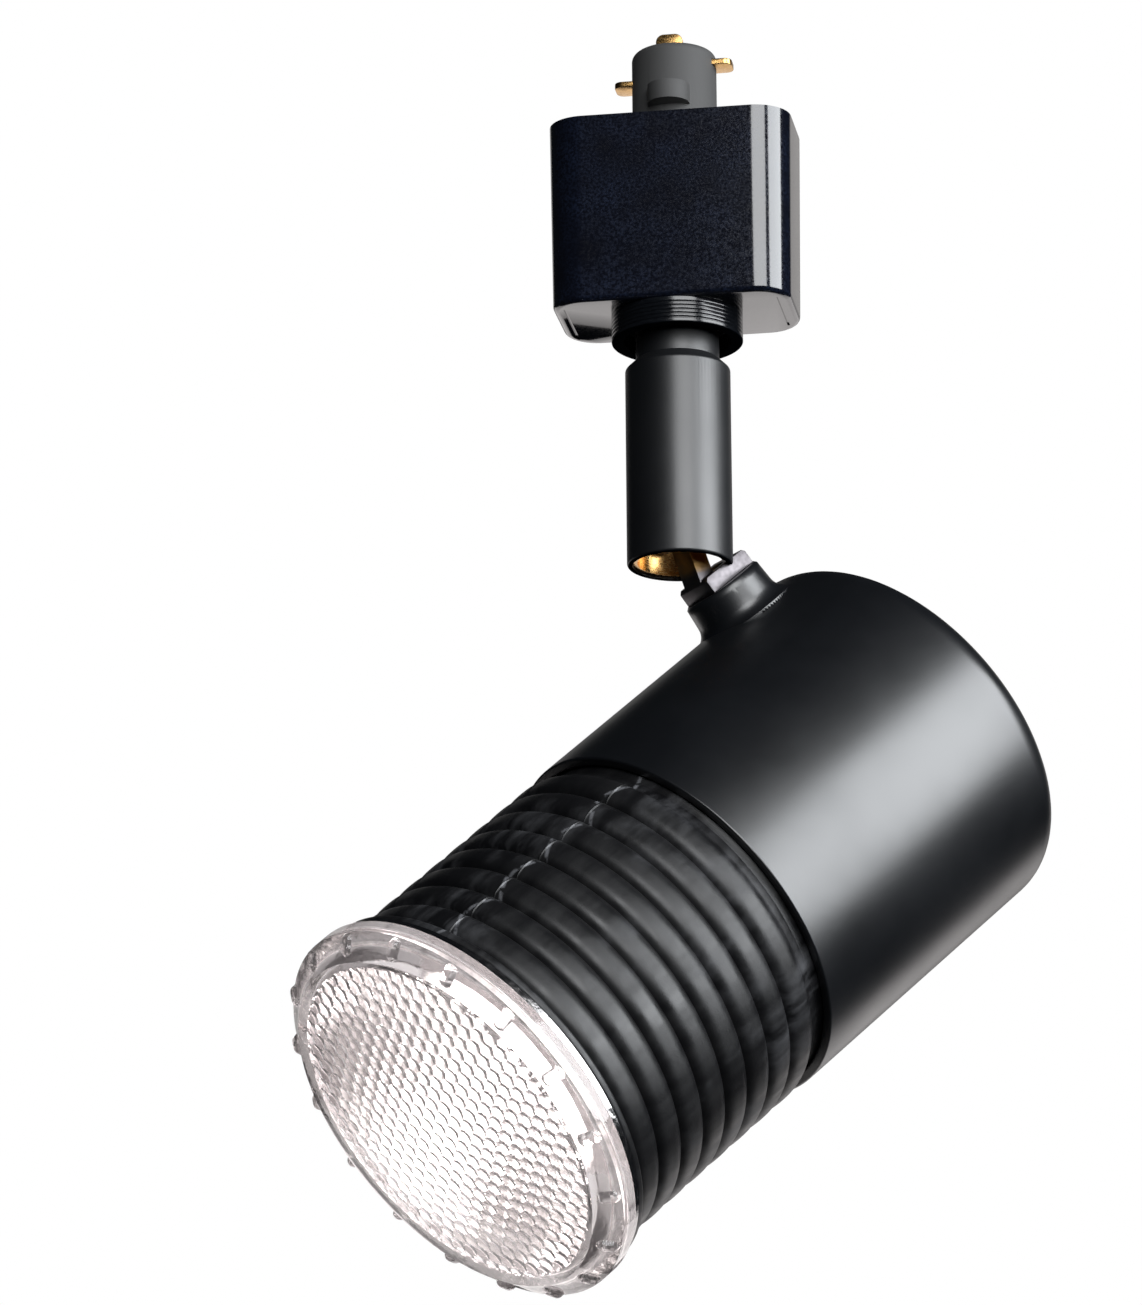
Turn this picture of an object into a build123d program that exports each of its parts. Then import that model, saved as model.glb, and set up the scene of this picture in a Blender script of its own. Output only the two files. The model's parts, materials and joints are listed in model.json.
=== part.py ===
"""Track spotlight: a twist-in track adapter, a swivelling stem, a tilting lamp head and a reflector lamp.

The origin is the centre of the adapter's top face, which seats against the track. +Z is up and
+X runs along the track. Every size is in millimetres.
"""

import os
from math import asin, cos, degrees, radians, sin, sqrt

from build123d import *

os.makedirs("parts", exist_ok=True)

# ---------------------------------------------------------------- clearances
running_fit = 0.03       # radial, a pin or spindle that turns
slip_fit = 0.15          # radial, pieces that pass through a hole
lamp_gap = 0.30          # radial, between the lamp and what surrounds it
end_gap = 0.05           # between a loose piece's end and what it stops against
overshoot = 1.0          # how far a cut runs on outside what it cuts

# ---------------------------------------------------------------- how it is aimed
pan_angle = 38.6         # head swung from -X towards -Y
tilt_angle = 41.3        # lamp axis below the horizontal
stop_half_range = 165.0  # free swing each way from the middle of the pan

# ---------------------------------------------------------------- track adapter
adapter_width = 37.2
adapter_depth = 21.0
adapter_height = 29.8
adapter_corner = 5.7
adapter_wall = 1.8
adapter_floor = 2.2
adapter_draft = 0.7      # degrees
adapter_edge = 0.9
rim_wall = 0.9           # wall left outside the recess of the cover
crease_inset = 2.3       # from the end of the box to the groove along its underside
crease_length = 13.0
crease_width = 0.35
crease_depth = 0.25
cover_thickness = 2.2
post_diameter = 5.6
post_inset = 5.3         # from the end of the box to the axis of a screw post
screw_diameter = 2.2
screw_head = 4.2
screw_head_height = 1.3
screw_length = 11.0      # of the hole in its post
screw_short = 1.0        # from the end of a screw to the bottom of its hole
screw_sink = 0.1         # a screw's head below the face of the cover
screw_slot = 0.6         # width of the cross in a screw's head
screw_slot_depth = 0.7

key_diameter = 13.0
key_height = 13.0
key_flange = 15.4
key_flange_thickness = 1.6
lug_length = 19.0
lug_width = 6.4
lug_thickness = 3.0
lug_gap = 2.6            # from the top face to the underside of a lug
blade_thickness = 0.9
blade_width = 4.2
blade_reach = 2.6        # how far a contact stands out of the key
live_level = 7.6
neutral_level = 10.4
ground_reach = 1.6
key_edge = 1.2           # radius round the top of the key and the tips of the contacts
blade_slack = 0.1        # across a contact in its slot
tail_inset = 1.9         # from the side of the key to the middle of a contact's tail
tail_length = 5.5        # of a contact below the flange of the key

# ---------------------------------------------------------------- stem
collar_diameter = 20.0
collar_bore = 16.4
collar_height = 4.1
collar_web = 1.2
collar_grooves = 5
groove_pitch = 0.62
groove_depth = 0.14
groove_width = 0.26
groove_start = 0.55      # below the box
collar_edge = 0.25
nipple_diameter = 9.9
nipple_bore = 6.6
neck_diameter = 12.7
neck_end = 36.9          # below the track face, where the neck meets the shoulder
shoulder = 1.6
tube_diameter = 16.0
tube_wall = 0.8
tube_end = 69.5          # below the track face
tube_edge = 1.1
tube_roof = 3.4
shoulder_edge = 0.6
nipple_standout = 1.4    # above its nut
nipple_chamfer = 0.5
bearing_diameter = 12.6
washer_thickness = 0.8
stop_washer_diameter = 12.8
stop_washer_thickness = 1.0
wave_diameter = 12.4
wave_thickness = 0.9
nut_flats = 13.0
nut_height = 4.0
nut_corner = 0.35        # how far the rounded corners stand out past the flats
tab_width = 1.6
tab_gap = 0.1            # from the tip of the tab to the far side of its post
post_gap = 0.55          # from the stop washer to the post
stop_post_depth = 1.15
stop_allowance = 1.8     # degrees left free before the tab reaches the post
sleeve_wall = 0.75
sleeve_top = 50.0        # below the track face
sleeve_recess = 0.5      # sleeve's lower end above the end of the tube

# ---------------------------------------------------------------- tilt joint
pivot_drop = 63.3        # below the track face
pin_diameter = 2.5
pin_chamfer = 0.2
eye_radius = 3.0
strut_thickness = 4.5    # along the pin
strut_width = 2.8        # in the plane of the swing
strut_offset = 3.1       # towards the lens, where the strut meets the block
strut_root = 0.9         # length of the strut inside the block
block_length = 9.0
block_width = 8.0
block_top = 8.1          # from the pin
block_bottom = 10.7      # from the pin
block_edge = 0.5
slot_clearance = 0.3
slot_rise = 1.5          # top of the slot above the pin
stud_diameter = 7.8
stud_bore = 4.6
spacer_diameter = 5.4
boss_length = 5.16       # from the can to the block of the link

# ---------------------------------------------------------------- lamp housing
can_diameter = 60.0
can_length = 55.5
can_wall = 1.2
can_edge = 4.5
can_front = 42.86        # from the axis of the stud to the front lip
lip_width = 1.5
lip_depth = 1.0
boss_top_diameter = 12.9
boss_root_diameter = 13.9
boss_flare = 1.6         # how far the foot of the boss spreads past its root
boss_foot = 2.0          # depth of the foot, before the can's curve is cut from it
flare_height = 1.4
boss_chamfer = 0.4
saddle_thickness = 1.4   # at its thickest
saddle_diameter = 12.4
bracket_thickness = 1.2
bracket_width = 13.0
bracket_front = 6.8      # ahead of the axis of the stud
bracket_gap = 2.4        # from the bracket to the back wall
bracket_tail = 5.0       # below its lower screw
lock_washer_thickness = 0.9
lock_washer_diameter = 11.6
link_nut_flats = 12.0
link_nut_height = 3.2
stud_margin = 0.7        # stud standing out of its nut

# ---------------------------------------------------------------- lamp holder
socket_diameter = 37.0
socket_nose = 31.0
socket_floor = 9.0       # solid porcelain behind the shell
socket_edge = 1.5
socket_shoulder = 3.0    # length of the step, and of the taper after it
nose_taper = 1.0
socket_rim = 1.2         # porcelain ahead of the shell
socket_slack = 0.1       # radial, round the shell
shell_lead = 0.8         # shell ahead of the thread
shell_floor = 1.2        # from the seat of the shell to the thread
contact_well = 3.2       # radial, round the contact of the lamp
shell_wall = 0.5
thread_major = 13.2      # radius, lamp base
thread_minor = 12.45
thread_pitch = 3.63
thread_turns = 5
mount_screw_spacing = 20.0
mount_screw_diameter = 3.5
mount_screw_head = 6.4
terminal_head = 5.6
terminal_height = 1.6
terminal_depth = 3.0     # of the recess that holds a terminal
terminal_slack = 1.2
terminal_slot = 0.8
spring_thickness = 0.5
spring_half_length = 6.5
spring_width = 4.8
terminal_angle = 62.0    # round the lamp axis from the stud

# ---------------------------------------------------------------- lens boot
boot_sleeve = 9.0        # length held inside the housing
boot_wall = 1.4
boot_band = 3.0          # plain band between the lip and the first rib
boot_valley = 28.75      # radius
boot_crest = 29.75
boot_ribs = 8
rib_pitch = 4.95
boot_bead = 31.0         # radius of the bead at the front
boot_bead_length = 2.1
band_step = 0.5          # of the plain band, inside the valleys

# ---------------------------------------------------------------- reflector lamp
lamp_radius = 31.75
lamp_overall = 82.6
rim_reach = 48.65        # from the lip to the front edge of the rim
rim_thickness = 2.75
bevel_width = 3.55
bevel_rise = 2.85
lens_dome = 1.75
lens_wall = 2.2
lens_skirt = 1.4         # radial, from the crown's edge to the hollow behind it
rim_edge = 0.35
bump_count = 18
bump_width = 2.0
bump_length = 3.4
bump_height = 0.9
bump_root = 0.6          # of a bump inside the bevel
flange_thickness = 1.1
flange_inset = 0.55
glass_wall = 1.5
throat_radius = 13.3     # outside of the glass where it leaves the base
mouth_radius = 28.1      # outside of the glass behind its flange
neck_radius = 11.6
neck_length = 7.0
bowl_share = 0.42        # of the bowl's length, where its curve is set
base_skirt = 3.5
base_wall = 0.4
insulator_height = 4.0
insulator_spread = 3.6   # radial, past the contact
insulator_step = 0.8     # ahead of the thread
insulator_depth = 1.6    # inside the shell
base_contact_radius = 4.9
base_contact_height = 1.3
base_contact_inset = 0.4
base_contact_edge = 0.5
capsule_lift = 1.5       # from the throat of the bowl
capsule_radius = 5.0
capsule_length = 27.0
capsule_wall = 1.0
pinch_length = 7.0          # solid quartz round the leads
filament_radius = 1.0
filament_length = 9.0
filament_lift = 2.5      # from the pinch
wire_width = 0.7
support_radius = 0.5
support_spread = 5.7     # from the lamp axis
support_overlap = 4.0    # beside the pinch

# ================================================================ derived places
up = Vector(0, 0, 1)
aim = Vector(-cos(radians(pan_angle)), -sin(radians(pan_angle)), 0)
lens_dir = aim * cos(radians(tilt_angle)) - up * sin(radians(tilt_angle))
arm_dir = aim * sin(radians(tilt_angle)) + up * cos(radians(tilt_angle))
side_dir = lens_dir.cross(arm_dir)
pivot = Vector(0, 0, -pivot_drop)
arm_length = can_diameter / 2 + boss_length + block_bottom
head_origin = pivot - arm_dir * arm_length

stem_section = Plane.XZ
head_section = Plane(origin=head_origin, x_dir=arm_dir, z_dir=arm_dir.cross(lens_dir))
arm_section = Plane(origin=head_origin, x_dir=lens_dir, z_dir=side_dir)
swing_plane = Plane(origin=pivot, x_dir=lens_dir, z_dir=side_dir)
lamp_axis = Axis(head_origin, lens_dir)
arm_axis = Axis(head_origin, arm_dir)
pin_axis = Axis(pivot, side_dir)


def across_lamp(distance):
    """A plane square to the lamp axis, this far ahead of the stud's axis, with x towards the pin."""
    return Plane(origin=head_origin + lens_dir * distance, x_dir=arm_dir, z_dir=lens_dir)


def around_lamp(distance, angle):
    """The same plane, with its x turned round the lamp axis away from the pin."""
    spoke = arm_dir * cos(radians(angle)) + side_dir * sin(radians(angle))
    return Plane(origin=head_origin + lens_dir * distance, x_dir=spoke, z_dir=lens_dir)


def across_arm(height):
    """A plane square to the arm, this far above the lamp axis, with x towards the lens."""
    return Plane(origin=head_origin + arm_dir * height, x_dir=lens_dir, z_dir=arm_dir)


def across_pin(distance):
    """A plane square to the tilt pin, this far along it."""
    return Plane(origin=pivot + side_dir * distance, x_dir=lens_dir, z_dir=side_dir)


def outline(plane, points):
    """The face inside a closed run of straight lines."""
    with BuildSketch(plane) as face:
        with BuildLine():
            Polyline(*points, close=True)
        make_face()
    return face.sketch


def disc(plane, radius, bore=0.0):
    """A round face, or a ring when it has a bore."""
    with BuildSketch(plane) as face:
        Circle(radius)
        if bore > 0:
            Circle(bore, mode=Mode.SUBTRACT)
    return face.sketch


def box_outline(z, margin):
    """The adapter's plan at a level, shrunk by a margin, with the mould's draft."""
    inset = margin - z * sin(radians(adapter_draft))
    with BuildSketch(Plane.XY.offset(z)) as face:
        RectangleRounded(adapter_width - 2 * inset, adapter_depth - 2 * inset, adapter_corner - margin)
    return face.sketch


def cap_middle(radius, rise):
    """How high a round cap stands at half its radius."""
    sphere = (radius**2 + rise**2) / (2 * rise)
    return rise - sphere + sqrt(sphere**2 - radius**2 / 4)


def save(piece, name):
    """Label a finished piece and write it."""
    piece.part.label = name
    export_step(piece.part, f"parts/{name}.step")


def thread_profile(start, turns, offset):
    """Points (radius, place along the lamp axis) of a rounded thread's rings, offset outwards."""
    points = []
    for turn in range(turns):
        base = start + turn * thread_pitch
        points.append((thread_minor + offset, base))
        points.append((thread_major + offset, base + 0.36 * thread_pitch))
        points.append((thread_major + offset, base + 0.64 * thread_pitch))
    points.append((thread_minor + offset, start + turns * thread_pitch))
    return points


# ================================================================ adapter body
floor_top = -adapter_height + adapter_floor
post_x = adapter_width / 2 - post_inset
collar_end = -adapter_height - collar_height
web_bottom = -adapter_height - collar_web
bearing_top = floor_top + washer_thickness
stop_top = bearing_top + stop_washer_thickness
wave_top = stop_top + wave_thickness
nut_top = wave_top + nut_height
nipple_top = nut_top + nipple_standout
spindle_bore = nipple_diameter / 2 + running_fit
key_flange_bottom = -cover_thickness - key_flange_thickness

stop_post_radius = stop_washer_diameter / 2 + post_gap
tab_reach = stop_post_radius + stop_post_depth - tab_gap
stop_half_angle = degrees(asin(tab_width / 2 / stop_post_radius))
stop_width = 2 * stop_post_radius * sin(radians(180 - stop_half_range - stop_half_angle - stop_allowance))

with BuildPart() as adapter_housing:
    extrude(box_outline(0, 0), amount=-adapter_height, taper=adapter_draft)
    fillet(adapter_housing.edges().group_by(Axis.Z)[0], radius=adapter_edge)
    extrude(box_outline(0, rim_wall), amount=-cover_thickness, mode=Mode.SUBTRACT)
    extrude(
        box_outline(-cover_thickness, adapter_wall),
        amount=floor_top + cover_thickness,
        taper=adapter_draft,
        mode=Mode.SUBTRACT,
    )
    with BuildSketch(Plane.XY.offset(floor_top)):
        with Locations((-post_x, 0), (post_x, 0)):
            Circle(post_diameter / 2)
    extrude(amount=-cover_thickness - floor_top)
    with BuildSketch(Plane.XY.offset(floor_top)):
        with Locations((0, stop_post_radius + stop_post_depth / 2)):
            Rectangle(stop_width, stop_post_depth)
    extrude(amount=stop_top - floor_top)
    with BuildSketch(Plane.XY.offset(-cover_thickness)):
        with Locations((-post_x, 0), (post_x, 0)):
            Circle(screw_diameter / 2)
    extrude(amount=-screw_length, mode=Mode.SUBTRACT)
    extrude(
        disc(Plane.XY.offset(floor_top + overshoot), spindle_bore),
        amount=-adapter_floor - 2 * overshoot,
        mode=Mode.SUBTRACT,
    )
    with BuildSketch(Plane.XY.offset(-adapter_height)):
        with Locations((crease_inset - adapter_width / 2, 0), (adapter_width / 2 - crease_inset, 0)):
            Rectangle(crease_width, crease_length)
    extrude(amount=crease_depth, mode=Mode.SUBTRACT)
save(adapter_housing, "adapter_housing")

with BuildPart() as adapter_cover:
    extrude(box_outline(0, rim_wall), amount=-cover_thickness)
    extrude(disc(Plane.XY, key_diameter / 2), amount=-cover_thickness, mode=Mode.SUBTRACT)
    with Locations((-post_x, 0, 0), (post_x, 0, 0)):
        CounterBoreHole(
            radius=screw_diameter / 2 + slip_fit,
            counter_bore_radius=screw_head / 2 + slip_fit,
            counter_bore_depth=screw_head_height,
            depth=cover_thickness,
        )
save(adapter_cover, "adapter_cover")

with BuildPart() as cover_screws:
    for side in (-1, 1):
        with BuildSketch(Plane.XY.offset(-cover_thickness - screw_length + screw_short)):
            with Locations((side * post_x, 0)):
                Circle(screw_diameter / 2)
        extrude(amount=screw_length - screw_short + cover_thickness - screw_head_height)
        with BuildSketch(Plane.XY.offset(-screw_head_height)):
            with Locations((side * post_x, 0)):
                Circle(screw_head / 2)
        extrude(amount=screw_head_height - screw_sink)
        with BuildSketch(Plane.XY.offset(-screw_sink)):
            with Locations((side * post_x, 0)):
                Rectangle(screw_head * 0.7, screw_slot)
                Rectangle(screw_slot, screw_head * 0.7)
        extrude(amount=-screw_slot_depth, mode=Mode.SUBTRACT)
save(cover_screws, "cover_screws")

blade_slot = blade_thickness + blade_slack
tail_x = key_diameter / 2 - tail_inset
with BuildPart() as track_key:
    extrude(disc(Plane.XY.offset(key_flange_bottom), key_flange / 2), amount=key_flange_thickness)
    extrude(disc(Plane.XY.offset(-cover_thickness), key_diameter / 2), amount=cover_thickness + key_height)
    with BuildSketch(Plane.XY.offset(lug_gap)):
        RectangleRounded(lug_width, lug_length, lug_width / 2 - 0.1)
    extrude(amount=lug_thickness)
    fillet(track_key.edges().group_by(Axis.Z)[-1], radius=key_edge)
    for side, level in ((-1, live_level), (1, neutral_level)):
        with BuildSketch(Plane.XY.offset(level)):
            with Locations((side * (key_diameter / 2 - 0.5), 0)):
                Rectangle(key_diameter / 2, blade_width)
        extrude(amount=blade_slot, mode=Mode.SUBTRACT)
        with BuildSketch(Plane.XY.offset(key_flange_bottom)):
            with Locations((side * tail_x, 0)):
                Rectangle(blade_slot, blade_width)
        extrude(amount=level - key_flange_bottom, mode=Mode.SUBTRACT)
    with BuildSketch(Plane.XY.offset(key_flange_bottom)):
        with Locations((0, -tail_x)):
            Rectangle(blade_width, blade_slot)
    extrude(amount=key_height + overshoot - key_flange_bottom, mode=Mode.SUBTRACT)
save(track_key, "track_key")


def contact_blade(side, level):
    """An L of strip: a tail down into the box and a tongue that stands out of the key."""
    tail_bottom = key_flange_bottom - tail_length
    inner = tail_x - blade_thickness / 2
    outer = key_diameter / 2 + blade_reach
    with BuildSketch(Plane.XZ) as face:
        with BuildLine():
            Polyline(
                (side * inner, tail_bottom),
                (side * (inner + blade_thickness), tail_bottom),
                (side * (inner + blade_thickness), level),
                (side * outer, level),
                (side * outer, level + blade_thickness),
                (side * inner, level + blade_thickness),
                close=True,
            )
        make_face()
    return face.sketch


with BuildPart() as live_contact:
    extrude(contact_blade(-1, live_level), amount=(blade_width - blade_slack) / 2, both=True)
    fillet(live_contact.edges().filter_by(Axis.Z).group_by(Axis.X)[0], radius=key_edge)
save(live_contact, "live_contact")

with BuildPart() as neutral_contact:
    extrude(contact_blade(1, neutral_level), amount=(blade_width - blade_slack) / 2, both=True)
    fillet(neutral_contact.edges().filter_by(Axis.Z).group_by(Axis.X)[-1], radius=key_edge)
save(neutral_contact, "neutral_contact")

with BuildPart() as ground_contact:
    with BuildSketch(Plane.XY.offset(key_flange_bottom - tail_length)):
        with Locations((0, -tail_x)):
            Rectangle(blade_width - blade_slack, blade_thickness)
    extrude(amount=key_height + ground_reach - key_flange_bottom + tail_length)
    fillet(ground_contact.edges().filter_by(Axis.Y).group_by(Axis.Z)[-1], radius=key_edge)
save(ground_contact, "ground_contact")

with BuildPart() as stem_collar:
    collar_radius = collar_diameter / 2
    revolve(
        outline(
            stem_section,
            [
                (spindle_bore, -adapter_height),
                (collar_radius, -adapter_height),
                (collar_radius, collar_end),
                (collar_bore / 2, collar_end),
                (collar_bore / 2, web_bottom),
                (spindle_bore, web_bottom),
            ],
        ),
        axis=Axis.Z,
    )
    fillet(stem_collar.edges().filter_by(GeomType.CIRCLE).group_by(Axis.Z)[0], radius=collar_edge)
    for groove in range(collar_grooves):
        level = -adapter_height - groove_start - groove * groove_pitch
        ring = disc(Plane.XY.offset(level), collar_radius + overshoot, collar_radius - groove_depth)
        extrude(ring, amount=-groove_width, mode=Mode.SUBTRACT)
save(stem_collar, "stem_collar")

with BuildPart() as bearing_washer:
    extrude(disc(Plane.XY.offset(floor_top), bearing_diameter / 2, spindle_bore), amount=washer_thickness)
save(bearing_washer, "bearing_washer")

# ================================================================ stem body
neck_top = web_bottom
roof_top = -neck_end - shoulder
roof_bottom = roof_top - tube_roof
tube_radius = tube_diameter / 2
tube_bore = tube_radius - tube_wall
slot_width = block_width + 2 * slot_clearance
slot_height = tube_end - pivot_drop + slot_rise
slot_plane = Plane(origin=pivot, x_dir=side_dir, z_dir=-aim)
tab_angle = 270 + pan_angle

with BuildPart() as stem_tube:
    revolve(
        outline(
            stem_section,
            [
                (nipple_diameter / 2, neck_top),
                (neck_diameter / 2, neck_top),
                (neck_diameter / 2, -neck_end),
                (tube_radius, -neck_end - shoulder),
                (tube_radius, -tube_end),
                (tube_bore, -tube_end),
                (tube_bore, roof_bottom),
                (nipple_diameter / 2, roof_bottom),
            ],
        ),
        axis=Axis.Z,
    )
    rim_edges = stem_tube.edges().filter_by(GeomType.CIRCLE).group_by(Axis.Z)[0].sort_by(SortBy.RADIUS)
    fillet(rim_edges[-1], radius=min(tube_edge, 0.6 * tube_wall))
    shoulder_edges = stem_tube.edges().filter_by(GeomType.CIRCLE).filter_by_position(
        Axis.Z, -neck_end - shoulder - 0.01, -neck_end - shoulder + 0.01
    )
    fillet(shoulder_edges.sort_by(SortBy.RADIUS)[-1], radius=shoulder_edge)
    with BuildSketch(slot_plane):
        with Locations((0, slot_rise - (slot_height + overshoot) / 2)):
            Rectangle(slot_width, slot_height + overshoot)
    extrude(amount=tube_diameter, mode=Mode.SUBTRACT)
save(stem_tube, "stem_tube")

with BuildPart() as stem_nipple:
    extrude(
        disc(Plane.XY.offset(roof_bottom), nipple_diameter / 2, nipple_bore / 2),
        amount=nipple_top - roof_bottom,
    )
    chamfer(stem_nipple.edges().group_by(Axis.Z)[-1].sort_by(SortBy.RADIUS)[-1], length=nipple_chamfer)
save(stem_nipple, "stem_nipple")

with BuildPart() as stop_washer:
    with BuildSketch(Plane.XY.offset(bearing_top)):
        Circle(stop_washer_diameter / 2)
        with PolarLocations(0, 1, start_angle=tab_angle):
            with Locations((tab_reach - 2, 0)):
                Rectangle(4, tab_width)
        Circle(nipple_diameter / 2, mode=Mode.SUBTRACT)
    extrude(amount=stop_washer_thickness)
save(stop_washer, "stop_washer")

with BuildPart() as wave_washer:
    wave_ring = disc(Plane.XY.offset(stop_top), wave_diameter / 2, nipple_diameter / 2 + slip_fit)
    extrude(wave_ring, amount=wave_thickness)
save(wave_washer, "wave_washer")

with BuildPart() as lock_nut:
    with BuildSketch(Plane.XY.offset(wave_top)):
        RegularPolygon(radius=nut_flats / 2, side_count=6, major_radius=False)
        Circle(nipple_diameter / 2, mode=Mode.SUBTRACT)
    extrude(amount=nut_height)
    hex_cap = disc(Plane.XY.offset(wave_top), nut_flats / 2 + nut_corner)
    extrude(hex_cap, amount=nut_height, mode=Mode.INTERSECT)
save(lock_nut, "lock_nut")

sleeve_radius = tube_bore
sleeve_bore = sleeve_radius - sleeve_wall
with BuildPart() as pivot_sleeve:
    sleeve_bottom = -tube_end + sleeve_recess
    sleeve_ring = disc(Plane.XY.offset(sleeve_bottom), sleeve_radius, sleeve_bore)
    extrude(sleeve_ring, amount=-sleeve_top - sleeve_bottom)
    with BuildSketch(slot_plane):
        with Locations((0, slot_rise - (slot_height + overshoot) / 2)):
            Rectangle(slot_width, slot_height + overshoot)
    extrude(amount=tube_diameter, mode=Mode.SUBTRACT)
    extrude(disc(swing_plane, pin_diameter / 2), amount=tube_diameter, both=True, mode=Mode.SUBTRACT)
save(pivot_sleeve, "pivot_sleeve")

with BuildPart() as tilt_pin:
    pin_half = sqrt(sleeve_radius**2 - (pin_diameter / 2) ** 2) - end_gap
    extrude(disc(swing_plane, pin_diameter / 2), amount=pin_half, both=True)
    chamfer(tilt_pin.edges().filter_by(GeomType.CIRCLE), length=pin_chamfer)
save(tilt_pin, "tilt_pin")

with BuildPart() as tilt_spacers:
    spacer_start = strut_thickness / 2 + end_gap
    spacer_end = sqrt(sleeve_bore**2 - (spacer_diameter / 2) ** 2) - end_gap
    for side in (-1, 1):
        ring = disc(across_pin(side * spacer_start), spacer_diameter / 2, pin_diameter / 2)
        extrude(ring, amount=side * (spacer_end - spacer_start))
save(tilt_spacers, "tilt_spacers")

# ================================================================ head body
block_height = block_bottom - block_top
boss_top = can_diameter / 2 + boss_length
can_radius = can_diameter / 2
can_inner = can_radius - can_wall
can_back = can_front - can_length
inner_edge = max(can_edge - can_wall, 0.4)
arc_share = 1 - sqrt(0.5)        # how far the middle of a quarter round lies from its corner

with BuildPart() as knuckle_link:
    with BuildSketch(across_arm(boss_top)):
        Rectangle(block_length, block_width)
    extrude(amount=block_height)
    chamfer(knuckle_link.edges().filter_by(pin_axis).sort_by(arm_axis)[-2:], length=block_edge)
    lean = Vector(strut_offset, -block_top - strut_root)
    across = Vector(lean.Y, -lean.X).normalized() * (strut_width / 2)
    with BuildSketch(swing_plane):
        Circle(eye_radius)
    extrude(amount=strut_thickness / 2, both=True)
    strut_face = outline(
        swing_plane,
        [
            (across.X, across.Y),
            (lean.X + across.X, lean.Y + across.Y),
            (lean.X - across.X, lean.Y - across.Y),
            (-across.X, -across.Y),
        ],
    )
    extrude(strut_face, amount=strut_thickness / 2, both=True)
    pin_hole = disc(swing_plane, pin_diameter / 2 + running_fit)
    extrude(pin_hole, amount=block_width, both=True, mode=Mode.SUBTRACT)
    extrude(
        disc(across_arm(boss_top), stud_diameter / 2),
        amount=-(boss_top - can_inner + saddle_thickness + bracket_thickness + lock_washer_thickness
                 + link_nut_height + stud_margin),
    )
    bore_start = across_arm(boss_top + block_height + overshoot)
    extrude(disc(bore_start, stud_bore / 2), amount=-boss_top, mode=Mode.SUBTRACT)
save(knuckle_link, "knuckle_link")

with BuildPart() as link_boss:
    with BuildSketch(arm_section):
        with BuildLine():
            Polyline(
                (boss_root_diameter / 2 + boss_flare, can_radius - boss_foot),
                (stud_diameter / 2, can_radius - boss_foot),
                (stud_diameter / 2, boss_top),
                (boss_top_diameter / 2, boss_top),
                (boss_root_diameter / 2 - 0.25, can_radius + flare_height),
            )
            ThreePointArc(
                (boss_root_diameter / 2 - 0.25, can_radius + flare_height),
                (boss_root_diameter / 2 + 0.25, can_radius + 0.15),
                (boss_root_diameter / 2 + boss_flare, can_radius - 0.75),
            )
            Line(
                (boss_root_diameter / 2 + boss_flare, can_radius - 0.75),
                (boss_root_diameter / 2 + boss_flare, can_radius - boss_foot),
            )
        make_face()
    revolve(axis=arm_axis)
    chamfer(
        link_boss.edges().filter_by(GeomType.CIRCLE).sort_by_distance(pivot)[0:2].sort_by(SortBy.RADIUS)[-1],
        length=boss_chamfer,
    )
    extrude(disc(across_lamp(can_back), can_radius), amount=can_length, mode=Mode.SUBTRACT)
save(link_boss, "link_boss")

with BuildPart() as lamp_housing:
    with BuildSketch(head_section):
        with BuildLine():
            Polyline(
                (0, can_back),
                (can_radius - can_edge, can_back),
            )
            ThreePointArc(
                (can_radius - can_edge, can_back),
                (can_radius - can_edge * arc_share, can_back + can_edge * arc_share),
                (can_radius, can_back + can_edge),
            )
            Polyline(
                (can_radius, can_back + can_edge),
                (can_radius, can_front),
                (can_radius - lip_width, can_front),
                (can_radius - lip_width, can_front - lip_depth),
                (can_inner, can_front - lip_depth),
                (can_inner, can_back + can_wall + inner_edge),
            )
            ThreePointArc(
                (can_inner, can_back + can_wall + inner_edge),
                (can_inner - inner_edge * arc_share, can_back + can_wall + inner_edge * arc_share),
                (can_inner - inner_edge, can_back + can_wall),
            )
            Polyline(
                (can_inner - inner_edge, can_back + can_wall),
                (0, can_back + can_wall),
                (0, can_back),
            )
        make_face()
    revolve(axis=lamp_axis)
    stud_hole = disc(across_arm(can_inner - overshoot), stud_diameter / 2 + slip_fit)
    extrude(stud_hole, amount=can_wall + 2 * overshoot, mode=Mode.SUBTRACT)
save(lamp_housing, "lamp_housing")

saddle_seat = can_inner - saddle_thickness
bracket_seat = saddle_seat - bracket_thickness
lock_seat = bracket_seat - lock_washer_thickness
nut_seat = lock_seat - link_nut_height
with BuildPart() as link_saddle:
    stud_ring = disc(across_arm(saddle_seat), saddle_diameter / 2, stud_diameter / 2 + slip_fit)
    extrude(stud_ring, amount=saddle_thickness + overshoot)
    extrude(disc(across_lamp(can_back), can_inner), amount=can_length, mode=Mode.INTERSECT)
save(link_saddle, "link_saddle")

bracket_back = can_back + can_wall + bracket_gap
socket_back = bracket_back + bracket_thickness
with BuildPart() as socket_bracket:
    leg_length = bracket_front - bracket_back
    with BuildSketch(across_arm(bracket_seat)):
        with Locations(((bracket_front + bracket_back) / 2, 0)):
            Rectangle(leg_length, bracket_width)
        Circle(stud_diameter / 2 + slip_fit, mode=Mode.SUBTRACT)
    extrude(amount=bracket_thickness)
    leg_drop = saddle_seat + mount_screw_spacing / 2 + bracket_tail
    with BuildSketch(across_lamp(bracket_back)):
        with Locations((saddle_seat - leg_drop / 2, 0)):
            Rectangle(leg_drop, bracket_width)
        with Locations((-mount_screw_spacing / 2, 0), (mount_screw_spacing / 2, 0)):
            Circle(mount_screw_diameter / 2 + slip_fit, mode=Mode.SUBTRACT)
    extrude(amount=bracket_thickness)
save(socket_bracket, "socket_bracket")

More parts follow.
